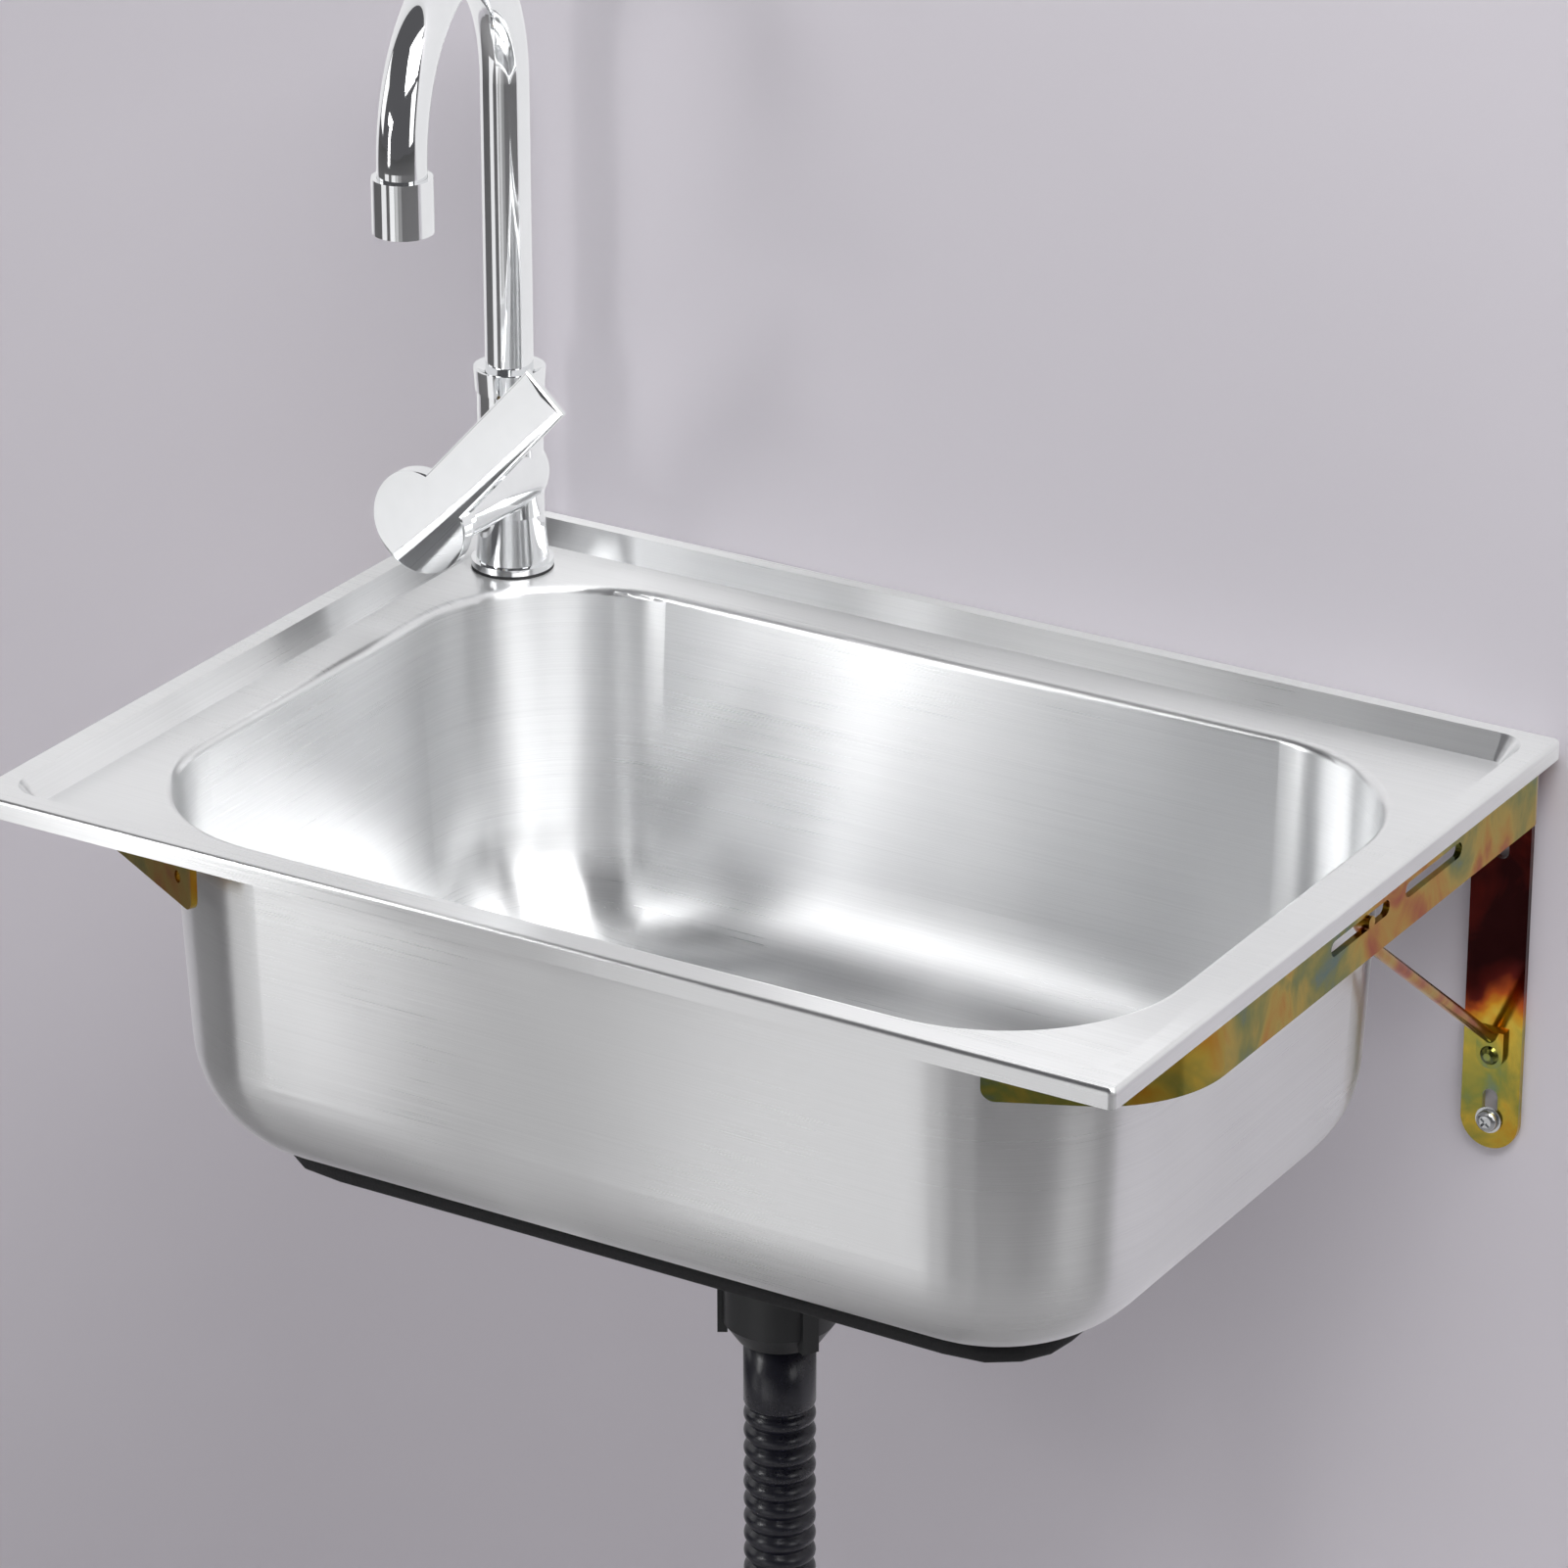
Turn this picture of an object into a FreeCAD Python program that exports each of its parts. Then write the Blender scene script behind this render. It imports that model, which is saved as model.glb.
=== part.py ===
# Wall-mounted hand sink: pressed steel bowl, gooseneck tap, wall brackets, basket waste and drain hose.
# Frame: X to the right, Y into the wall, Z up. The wall is the plane Y = 0, and the origin is the
# centre of the four wall screws. Lengths are in millimetres, angles in degrees.
import FreeCAD, Part
import Sketcher
import dataclasses
import math
import os
import types

# Driving dimensions, one cell each. Every other size and place is worked out from these.
SIZES = {
    # Wall fixing
    "screw_drop": 47,
    "screw_rise": 141,
    "plate_inset": 25,
    "wall_gap": 1,
    # Sink sheet
    "rim_width": 550,
    "rim_depth": 400,
    "rim_radius": 3,
    "rim_band_side": 10.5,
    "rim_band_front": 11,
    "rim_band_back": 8,
    "lip_drop": 9,
    "sheet": 1,
    "step_drop": 10,
    "step_slope": 40,
    "recess_radius": 14,
    "bowl_margin_left": 40.5,
    "bowl_margin_right": 33.5,
    "bowl_margin_front": 34,
    "bowl_margin_back": 41,
    "bowl_radius": 81,
    "bowl_depth": 177,
    "wall_slope": 3,
    "floor_radius": 55,
    "bowl_edge_round": 4,
    "rim_edge_round": 2,
    # Sound pad
    "sound_pad_thick": 8,
    "sound_pad_overlap": 18,
    "sound_pad_gap": 4,
    # Clearances
    "slip": 0.05,
    "running": 0.05,
    "seat_gap": 0.3,
    # Waste fitting
    "drain_from_wall": 201,
    "drain_bore": 90,
    "flange_width": 112,
    "gasket_inset": 2,
    "cup_width": 84,
    "cup_depth": 26,
    "cup_wall": 1,
    "cup_hole": 13,
    "cup_hole_circle": 54,
    "top_gasket_thick": 1.5,
    "low_gasket_thick": 2,
    "waste_gap": 1,
    "waste_wall": 3,
    "waste_flange": 108,
    "waste_depth": 52,
    "waste_cone": 12,
    "outlet_width": 40,
    "outlet_wall": 3,
    "outlet_length": 19,
    "spider_width": 8,
    "spider_depth": 14,
    "spider_boss": 16,
    "cup_screw_width": 6,
    "cup_screw_head": 11,
    "cup_screw_head_high": 3,
    # Strainer basket
    "basket_gap": 1.2,
    "basket_wall": 0.8,
    "basket_depth": 17,
    "basket_rim": 92,
    "basket_hole": 7,
    "basket_hole_circle": 52,
    "stopper_width": 40,
    "stopper_thick": 4,
    "knob_stem": 6,
    "knob_width": 18,
    "knob_high": 5,
    "knob_edge": 1.25,
    "knob_crown": 10.8,
    "knob_rise": 19,
    # Hose nut, hose and floor plug
    "nut_width": 51,
    "nut_chamfer": 9,
    "nut_mouth_edge": 3,
    "nut_overlap": 18,
    "nut_lug_width": 8,
    "nut_lug_reach": 27.5,
    "nut_lug_root": 2.5,
    "nut_lug_stop": 3,
    "nut_turn_angle": 211,
    "hose_seal_thick": 4,
    "hose_collar_thick": 4,
    "nut_lip_thick": 5,
    "hose_width": 32.4,
    "hose_valley": 27.6,
    "hose_wall": 1.4,
    "hose_pitch": 8.7,
    "hose_ribs": 52,
    "hose_cuff": 34,
    "floor_plug_width": 50,
    "floor_plug_high": 46,
    "floor_plug_flange": 6,
    "floor_plug_land": 16,
    "floor_plug_step": 2,
    # Tap body
    "tap_inset": 41,
    "tap_from_wall": 46,
    "tap_hole": 22.4,
    "shank_width": 20.96,
    "shank_length": 47,
    "shank_free": 28.5,
    "shank_relief": 18.8,
    "shank_relief_high": 2,
    "tap_base": 38,
    "tap_base_high": 3,
    "tap_foot": 34,
    "tap_flare_high": 26,
    "tap_width": 30,
    "tap_high": 85,
    "spigot_width": 28.6,
    "spigot_high": 6,
    "boss_width": 35,
    "boss_z": 45,
    "boss_length": 58,
    "inlet_bore": 10,
    "port_bore": 8,
    "chamber_start": 8,
    "chamber_bore": 24,
    "socket_bore": 25.2,
    "socket_floor": 59,
    "base_seal_thick": 1.5,
    "clamp_rubber_thick": 3,
    "clamp_rubber_width": 35,
    "clamp_washer_thick": 1.5,
    "clamp_washer_width": 33,
    "lock_nut_flats": 30,
    "lock_nut_high": 9,
    # Spout
    "tube_width": 22,
    "tube_wall": 1.6,
    "arch_radius": 66.5,
    "arch_z": 233,
    "outlet_drop": 13,
    "spout_swing": 14,
    "clip_thick": 1,
    "clip_groove": 1.1,
    "clip_play": 0.2,
    "bush_length": 15,
    "seal_ring_high": 3,
    "seal_ring_step": 6,
    "collar_width": 33,
    "collar_high": 11,
    "collar_dish": 2.5,
    "collar_edge": 1.5,
    "collar_gap": 0.25,
    "aerator_width": 27,
    "aerator_overlap": 9,
    "aerator_length": 25,
    "aerator_lip": 1.5,
    "aerator_mouth": 20.6,
    "aerator_washer_thick": 2,
    "aerator_washer_bore": 17,
    "aerator_jet": 2.6,
    "aerator_jet_circle": 13,
    # Valve and lever
    "seat_ring_thick": 2,
    "seat_ring_width": 16,
    "cartridge_end": 54,
    "disc_room_width": 18.2,
    "disc_room_depth": 10,
    "disc_thick": 3,
    "disc_gap": 0.05,
    "disc_port": 4,
    "disc_port_circle": 9,
    "spindle_width": 8,
    "spindle_head_gap": 0.3,
    "bonnet_thick": 4,
    "bonnet_bore": 10,
    "lever_gap": 11,
    "lever_thick": 8,
    "lever_crown": 160,
    "lever_disc": 49,
    "lever_reach": 102,
    "lever_width": 25.6,
    "lever_tip_thick": 3.6,
    "lever_angle": 47.5,
    "lever_round": 2.4,
    "skirt_width": 41,
    "skirt_wall": 2.3,
    "skirt_depth": 9,
    "hub_width": 14,
    "hub_depth": 5.4,
    "spindle_grip": 5,
    "grub_width": 3,
    # Brackets
    "plate_width": 28,
    "plate_thick": 3,
    "plate_top_drop": 9.5,
    "plate_slot_width": 7.4,
    "plate_slot_run": 11,
    "foot_rivet_drop": 155.5,
    "arm_thick": 3,
    "arm_high": 38,
    "arm_inset": 0.5,
    "arm_tab": 21,
    "arm_rear_bend": 6,
    "arm_front_bend": 57,
    "arm_bend_angle": 65,
    "arm_tip_run": 42,
    "arm_bowl_gap": 3.5,
    "left_arm_bend_angle": 61,
    "left_arm_tip_run": 74,
    "left_arm_bowl_gap": 10.5,
    "arm_notch": 0.5,
    "arm_tip_round": 6,
    "arm_tip_hole": 5.5,
    "arm_tip_hole_inset": 13,
    "arm_tip_hole_rise": 12,
    "arm_slot_width": 7,
    "arm_slot_length": 53,
    "arm_slot_start": 83,
    "arm_slot_step": 68,
    "arm_slot_drop": 21.5,
    "brace_width": 5.6,
    "brace_eye_width": 13,
    "brace_eye_thick": 3,
    "brace_eye_rise": 9,
    "brace_hook_y": 170,
    "brace_hook_out": 1.5,
    "brace_bend": 9,
    "rivet_width": 4.4,
    "rivet_head": 9,
    "rivet_head_high": 2.4,
    "rivet_shoulder": 7.2,
    "rivet_shoulder_high": 1.4,
    "rivet_crown": 3.6,
    "tab_rivet_upper": 13,
    "tab_rivet_lower": 30,
    "tab_rivet_inset": 2.25,
    # Wall screws
    "screw_width": 5,
    "screw_neck": 4.6,
    "screw_thread_rise": 1,
    "screw_head": 10,
    "screw_head_high": 3.4,
    "screw_head_edge": 1.7,
    "screw_crown": 6,
    "washer_width": 12.4,
    "washer_thick": 1.2,
    "screw_reach": 37,
}


class Size:
    """A number together with the sheet formula that it comes from, so that sums stay parametric."""

    def __init__(self, number, formula):
        self.number = float(number)
        self.formula = formula

    @staticmethod
    def of(value):
        return value if isinstance(value, Size) else Size(value, repr(value))

    def join(self, sign, other, number):
        return Size(number, f"({self.formula} {sign} {other.formula})")

    def __add__(self, other):
        other = Size.of(other)
        return self.join("+", other, self.number + other.number)

    def __sub__(self, other):
        other = Size.of(other)
        return self.join("-", other, self.number - other.number)

    def __mul__(self, other):
        other = Size.of(other)
        return self.join("*", other, self.number * other.number)

    def __truediv__(self, other):
        other = Size.of(other)
        return self.join("/", other, self.number / other.number)

    def __neg__(self):
        return Size(-self.number, f"(-1 * {self.formula})")


def cosine(angle):
    """Cosine of an angle size in degrees."""
    return Size(math.cos(math.radians(angle.number)), f"cos({angle.formula} * 1 deg)")


def sine(angle):
    """Sine of an angle size in degrees."""
    return Size(math.sin(math.radians(angle.number)), f"sin({angle.formula} * 1 deg)")


def tangent(angle):
    """Tangent of an angle size in degrees."""
    return Size(math.tan(math.radians(angle.number)), f"tan({angle.formula} * 1 deg)")


@dataclasses.dataclass
class Outline:
    """A rounded rectangle seen from above."""

    left: Size
    right: Size
    front: Size
    back: Size
    radius: Size

    def grown(self, by):
        """The same outline moved outwards by a distance."""
        return Outline(self.left - by, self.right + by, self.front - by, self.back + by, self.radius + by)

    def holds(self, box):
        """True where a bounding box lies inside the outline's straight sides."""
        slack = 0.5
        across = self.left.number - slack < box.XMin and box.XMax < self.right.number + slack
        return across and self.front.number - slack < box.YMin and box.YMax < self.back.number + slack


doc = FreeCAD.newDocument("hand_sink")
sheet = doc.addObject("Spreadsheet::Sheet", "dims")
for row, (name, number) in enumerate(SIZES.items(), start=1):
    sheet.set(f"A{row}", name)
    sheet.set(f"B{row}", str(number))
    sheet.setAlias(f"B{row}", name)
doc.recompute()
d = types.SimpleNamespace(**{name: Size(sheet.get(name), f"dims.{name}") for name in SIZES})

ZERO = Size(0, "0")
HEXAGON_HALF_ANGLE = Size(30, "30")
# One rib of the hose: shares of its pitch, and whether the point lies on the crest.
RIB = ((0.08, False), (0.3, False), (0.52, True), (0.86, True))
nodes = []

# Places that several pieces share.
rim_top = d.screw_drop + d.screw_rise / 2
rim_under = rim_top - d.sheet
deck_top = rim_top - d.step_drop
deck_under = deck_top - d.sheet
floor_top = rim_top - d.bowl_depth
floor_under = floor_top - d.sheet
rim_side = d.rim_width / 2
rim_back = -d.wall_gap
rim_front = rim_back - d.rim_depth
plate_x = rim_side - d.plate_inset
drain_x = (d.bowl_margin_left - d.bowl_margin_right) / 2
drain_y = -d.drain_from_wall
tap_x = d.tap_inset - rim_side
tap_y = -d.tap_from_wall
tap_z = deck_top + d.base_seal_thick
valve_z = tap_z + d.boss_z
lever_back = d.boss_length + d.lever_gap

rim = Outline(-rim_side, rim_side, rim_front, rim_back, d.rim_radius)
recess = Outline(
    d.rim_band_side - rim_side,
    rim_side - d.rim_band_side,
    rim_front + d.rim_band_front,
    rim_back - d.rim_band_back,
    d.recess_radius,
)
opening = Outline(
    d.bowl_margin_left - rim_side,
    rim_side - d.bowl_margin_right,
    rim_front + d.bowl_margin_front,
    rim_back - d.bowl_margin_back,
    d.bowl_radius,
)
# How far a sloped wall's outer face stands out from its inner one at the sheet's underside.
step_skin = d.sheet / cosine(d.step_slope) - d.sheet * tangent(d.step_slope)
wall_skin = d.sheet / cosine(d.wall_slope) - d.sheet * tangent(d.wall_slope)
bowl_fall = d.bowl_depth - d.step_drop
bowl_outside = opening.grown(wall_skin)
bowl_base = bowl_outside.grown(-(bowl_fall * tangent(d.wall_slope)))

# Ways that a turned piece can point: its own axis is Z, which these turn.
TO_ROOM = FreeCAD.Rotation(FreeCAD.Vector(1, 0, 0), 90)
UPRIGHT = FreeCAD.Rotation()


def bind(thing, where, size):
    """Ties a property of a document object to the sheet."""
    thing.setExpression(where, Size.of(size).formula)


def place(thing, x, y, z, rotation=UPRIGHT):
    """Puts an object at a point tied to the sheet."""
    thing.Placement = FreeCAD.Placement(FreeCAD.Vector(), rotation)
    for axis, size in zip("xyz", (x, y, z)):
        bind(thing, f"Placement.Base.{axis}", size)


def keep(thing):
    """Marks an object as a piece that gets a file of its own."""
    nodes.append(thing)
    return thing


def new_body(label):
    """An empty body with a label."""
    body = doc.addObject("PartDesign::Body", label)
    body.Label = label
    return body


def new_sketch(body, role, lift=ZERO):
    """A sketch on one of the body's own origin planes, lifted along the plane's normal."""
    sketch = body.newObject("Sketcher::SketchObject", "outline")
    plane = next(part for part in body.Origin.OriginFeatures if part.Role == role)
    sketch.AttachmentSupport = [(plane, "")]
    sketch.MapMode = "FlatFace"
    bind(sketch, "AttachmentOffset.Base.z", lift)
    return sketch


def hold(sketch, geometry, point, x, y):
    """Fixes a sketch point at two distances from the sketch's origin."""
    for kind, axis, size in (("DistanceX", -2, Size.of(x)), ("DistanceY", -1, Size.of(y))):
        if size.formula in ("0", "0.0"):
            sketch.addConstraint(Sketcher.Constraint("PointOnObject", geometry, point, axis))
            continue
        index = sketch.addConstraint(Sketcher.Constraint(kind, -1, 1, geometry, point, size.number))
        bind(sketch, f"Constraints[{index}]", size)


def vector(x, y):
    """A sketch point from two sizes."""
    return FreeCAD.Vector(Size.of(x).number, Size.of(y).number, 0)


def set_radius(sketch, geometry, size):
    """Ties the radius of a circle or arc to the sheet."""
    index = sketch.addConstraint(Sketcher.Constraint("Radius", geometry, size.number))
    bind(sketch, f"Constraints[{index}]", size)


def add_polygon(sketch, corners):
    """A closed outline of straight lines through the corners."""
    first = sketch.GeometryCount
    for start, end in zip(corners, corners[1:] + corners[:1]):
        sketch.addGeometry(Part.LineSegment(vector(*start), vector(*end)), False)
    for index, corner in enumerate(corners):
        following = first + (index + 1) % len(corners)
        sketch.addConstraint(Sketcher.Constraint("Coincident", first + index, 2, following, 1))
        hold(sketch, first + index, 1, *corner)


def add_box(sketch, left, right, low, high):
    """A rectangle from its four sides."""
    add_polygon(sketch, [(left, low), (right, low), (right, high), (left, high)])


def add_line(sketch, start, end):
    """A line with both ends held."""
    geometry = sketch.addGeometry(Part.LineSegment(vector(*start), vector(*end)), False)
    hold(sketch, geometry, 1, *start)
    hold(sketch, geometry, 2, *end)
    return geometry


def add_circle(sketch, x, y, radius):
    """A circle at a point of the sketch."""
    circle = Part.Circle(vector(x, y), FreeCAD.Vector(0, 0, 1), radius.number)
    geometry = sketch.addGeometry(circle, False)
    hold(sketch, geometry, 3, x, y)
    set_radius(sketch, geometry, radius)


def add_arc(sketch, x, y, radius, start, end):
    """An arc about a held centre, from one angle in degrees to another."""
    circle = Part.Circle(vector(x, y), FreeCAD.Vector(0, 0, 1), radius.number)
    geometry = sketch.addGeometry(Part.ArcOfCircle(circle, math.radians(start), math.radians(end)), False)
    hold(sketch, geometry, 3, x, y)
    set_radius(sketch, geometry, radius)
    return geometry


def add_ring_of_arcs(sketch, arcs):
    """Joins arcs, in order, by lines that are tangent to both."""
    for arc, following in zip(arcs, arcs[1:] + arcs[:1]):
        start = sketch.Geometry[arc].EndPoint
        end = sketch.Geometry[following].StartPoint
        line = sketch.addGeometry(Part.LineSegment(start, end), False)
        sketch.addConstraint(Sketcher.Constraint("Tangent", arc, 2, line, 1))
        sketch.addConstraint(Sketcher.Constraint("Tangent", line, 2, following, 1))


def add_outline(sketch, outline):
    """A rounded rectangle."""
    left = outline.left + outline.radius
    right = outline.right - outline.radius
    front = outline.front + outline.radius
    back = outline.back - outline.radius
    centres = ((right, back, 0), (left, back, 90), (left, front, 180), (right, front, 270))
    arcs = [add_arc(sketch, x, y, outline.radius, turn, turn + 90) for x, y, turn in centres]
    add_ring_of_arcs(sketch, arcs)


def add_slot(sketch, start, end, radius, turn):
    """A slot with round ends; turn is the direction from its start to its end, in degrees."""
    arcs = [
        add_arc(sketch, *start, radius, turn + 90, turn + 270),
        add_arc(sketch, *end, radius, turn - 90, turn + 90),
    ]
    add_ring_of_arcs(sketch, arcs)


def pad(body, sketch, length, slope=None, down=False):
    """Adds material along the sketch's normal, or against it, drawn in by a slope."""
    feature = body.newObject("PartDesign::Pad", "pad")
    feature.Profile = sketch
    feature.Reversed = down
    bind(feature, "Length", length)
    if slope is not None:
        bind(feature, "TaperAngle", -slope)
    return feature


def pocket(body, sketch, depth, slope=None, along=False):
    """Cuts against the sketch's normal, or along it, drawn in by a slope."""
    feature = body.newObject("PartDesign::Pocket", "pocket")
    feature.Profile = sketch
    feature.Reversed = along
    bind(feature, "Length", depth)
    if slope is not None:
        bind(feature, "TaperAngle", -slope)
    return feature


def drill(body, role, lift, x, y, radius, depth, along=False):
    """Cuts a round hole that starts on a lifted origin plane."""
    sketch = new_sketch(body, role, lift)
    add_circle(sketch, x, y, radius)
    return pocket(body, sketch, depth, along=along)


def drill_ring(body, lift, circle, hole, depth, count):
    """Cuts a ring of equal round holes about the body's Z axis, downwards from a height."""
    sketch = new_sketch(body, "XY_Plane", lift)
    add_circle(sketch, circle / 2, ZERO, hole / 2)
    cut = pocket(body, sketch, depth)
    ring = body.newObject("PartDesign::PolarPattern", "ring")
    ring.Originals = [cut]
    ring.Axis = (sketch, ["N_Axis"])
    ring.Angle = 360
    ring.Occurrences = count
    body.Tip = ring


def round_edges(body, radius, chosen):
    """Rounds the edges of the body so far that a test picks."""
    doc.recompute()
    base = body.Tip
    names = [f"Edge{index}" for index, edge in enumerate(base.Shape.Edges, start=1) if chosen(edge)]
    feature = body.newObject("PartDesign::Fillet", "round")
    feature.Base = (base, names)
    bind(feature, "Radius", radius)
    return feature


def level_at(edge, z):
    """True where an edge lies flat at a height."""
    box = edge.BoundBox
    return max(abs(box.ZMin - z.number), abs(box.ZMax - z.number)) < 0.01


def turned(label, half_section, x, y, z, rotation=UPRIGHT):
    """A body turned about its own Z axis; half_section holds its corners as (radius, height)."""
    body = new_body(label)
    sketch = new_sketch(body, "XZ_Plane")
    add_polygon(sketch, half_section)
    spin = body.newObject("PartDesign::Revolution", "spin")
    spin.Profile = sketch
    spin.ReferenceAxis = (sketch, ["V_Axis"])
    spin.Angle = 360
    place(body, x, y, z, rotation)
    return body


def ring(label, bore, width, low, high, x, y, z, rotation=UPRIGHT):
    """A turned ring of square section, from its two diameters and two heights."""
    corners = [(bore / 2, low), (width / 2, low), (width / 2, high), (bore / 2, high)]
    return turned(label, corners, x, y, z, rotation)


def group(label, pieces):
    """Equal pieces that share one file."""
    compound = doc.addObject("Part::Compound", label)
    compound.Label = label
    compound.Links = pieces
    return keep(compound)


def mirrored(label, source):
    """The left-hand twin of a right-hand piece."""
    twin = doc.addObject("Part::Mirroring", label)
    twin.Label = label
    twin.Source = source
    twin.Base = (0, 0, 0)
    twin.Normal = (1, 0, 0)
    return keep(twin)


# Sink sheet and sound pad
def make_sink_bowl():
    """One pressed sheet: rim with a turned-down lip, sloped step, deck and tapered bowl."""
    body = keep(new_body("sink_bowl"))
    blank = new_sketch(body, "XY_Plane", rim_top - d.lip_drop)
    add_outline(blank, rim)
    pad(body, blank, d.lip_drop)
    hollow = new_sketch(body, "XY_Plane", rim_top - d.lip_drop)
    add_outline(hollow, rim.grown(-d.sheet))
    pocket(body, hollow, d.lip_drop - d.sheet, along=True)

    tray = new_sketch(body, "XY_Plane", rim_under)
    add_outline(tray, recess.grown(step_skin))
    pad(body, tray, d.step_drop, slope=d.step_slope, down=True)
    shell = new_sketch(body, "XY_Plane", deck_under)
    add_outline(shell, bowl_outside)
    pad(body, shell, bowl_fall, slope=d.wall_slope, down=True)

    tray_room = new_sketch(body, "XY_Plane", rim_top)
    add_outline(tray_room, recess)
    pocket(body, tray_room, d.step_drop, slope=d.step_slope)
    bowl_room = new_sketch(body, "XY_Plane", deck_top)
    add_outline(bowl_room, opening)
    pocket(body, bowl_room, bowl_fall, slope=d.wall_slope)
    round_edges(body, d.floor_radius, lambda edge: level_at(edge, floor_top))
    round_edges(body, d.floor_radius + d.sheet, lambda edge: level_at(edge, floor_under))

    mouths = (
        (deck_under, bowl_outside.grown(d.sheet), d.bowl_edge_round - d.sheet),
        (deck_top, opening, d.bowl_edge_round),
    )
    for z, mouth, radius in mouths:
        round_edges(body, radius, lambda edge: level_at(edge, z) and mouth.holds(edge.BoundBox))
    for z, radius in ((rim_under, d.rim_edge_round - d.sheet), (rim_top, d.rim_edge_round)):
        round_edges(body, radius, lambda edge: level_at(edge, z) and not recess.holds(edge.BoundBox))

    drill(body, "XY_Plane", floor_top, drain_x, drain_y, d.drain_bore / 2, d.sheet * 2)
    drill(body, "XY_Plane", deck_top, tap_x, tap_y, d.tap_hole / 2, d.sheet * 2)


def make_sound_pad():
    """Black pad glued under the flat of the bowl, with a hole for the waste."""
    body = keep(new_body("sound_pad"))
    flat = bowl_base.grown(-(d.floor_radius + d.sheet))
    sheet_outline = new_sketch(body, "XY_Plane", floor_under)
    add_outline(sheet_outline, flat.grown(d.sound_pad_overlap))
    pad(body, sheet_outline, d.sound_pad_thick, down=True)
    hole = d.waste_flange / 2 + d.sound_pad_gap
    drill(body, "XY_Plane", floor_under, drain_x, drain_y, hole, d.sound_pad_thick)


# Waste fitting: heights are counted from the bowl's floor, on the drain's axis
flange_low = d.top_gasket_thick
flange_high = flange_low + d.cup_wall
cup_low = -d.cup_depth
cup_floor = cup_low + d.cup_wall
waste_top = -d.sheet - d.low_gasket_thick
waste_low = -d.waste_depth
cone_low = waste_low - d.waste_cone
outlet_low = cone_low - d.outlet_length
waste_bore = d.cup_width + d.waste_gap * 2
outlet_bore = d.outlet_width - d.outlet_wall * 2
nut_top = outlet_low + d.nut_overlap
seal_low = outlet_low - d.hose_seal_thick
collar_low = seal_low - d.hose_collar_thick
nut_low = collar_low - d.nut_lip_thick
hose_low = nut_low - d.hose_cuff * 2 - d.hose_pitch * d.hose_ribs
hose_bore = d.hose_valley - d.hose_wall * 2


def at_drain(label, half_section):
    """A turned piece on the drain's axis."""
    return turned(label, half_section, drain_x, drain_y, floor_top)


def make_strainer():
    """Strainer cup with its gaskets and centre screw."""
    gasket_width = d.flange_width - d.gasket_inset * 2
    keep(ring("top_gasket", d.drain_bore, gasket_width, ZERO, flange_low, drain_x, drain_y, floor_top))
    under = -d.sheet
    keep(ring("lower_gasket", d.drain_bore, d.waste_flange, waste_top, under, drain_x, drain_y, floor_top))
    hole = d.cup_screw_width / 2 + d.slip
    outside = d.cup_width / 2
    inside = outside - d.cup_wall
    edge = d.flange_width / 2
    cup = keep(
        at_drain(
            "strainer_cup",
            [
                (hole, cup_low),
                (outside, cup_low),
                (outside, flange_low),
                (edge, flange_low),
                (edge, flange_high),
                (inside, flange_high),
                (inside, cup_floor),
                (hole, cup_floor),
            ],
        )
    )
    drill_ring(cup, cup_floor, d.cup_hole_circle, d.cup_hole, d.cup_wall, 8)
    shank = d.cup_screw_width / 2
    head = d.cup_screw_head / 2
    head_top = cup_floor + d.cup_screw_head_high
    tip = cup_low - d.spider_depth
    keep(
        at_drain(
            "cup_screw",
            [
                (ZERO, tip),
                (shank, tip),
                (shank, cup_floor),
                (head, cup_floor),
                (head, head_top),
                (ZERO, head_top),
            ],
        )
    )


def make_waste_body():
    """Black moulded body: flange, cup, cone and threaded outlet, with a spider for the centre screw."""
    bore = waste_bore / 2
    outside = bore + d.waste_wall
    flange = d.waste_flange / 2
    flange_under = waste_top - d.waste_wall
    body = keep(
        at_drain(
            "waste_body",
            [
                (bore, waste_top),
                (flange, waste_top),
                (flange, flange_under),
                (outside, flange_under),
                (outside, waste_low),
                (d.outlet_width / 2, cone_low),
                (d.outlet_width / 2, outlet_low),
                (outlet_bore / 2, outlet_low),
                (outlet_bore / 2, cone_low + d.waste_wall),
                (bore, waste_low + d.waste_wall),
            ],
        )
    )
    reach = bore + d.waste_wall / 2
    half = d.spider_width / 2
    for across, along in ((reach, half), (half, reach)):
        bar = new_sketch(body, "XY_Plane", cup_low)
        add_box(bar, -across, across, -along, along)
        pad(body, bar, d.spider_depth, down=True)
    boss = new_sketch(body, "XY_Plane", cup_low)
    add_circle(boss, ZERO, ZERO, d.spider_boss / 2)
    pad(body, boss, d.spider_depth, down=True)
    drill(body, "XY_Plane", cup_low, ZERO, ZERO, d.cup_screw_width / 2 + d.slip, d.spider_depth)


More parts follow.
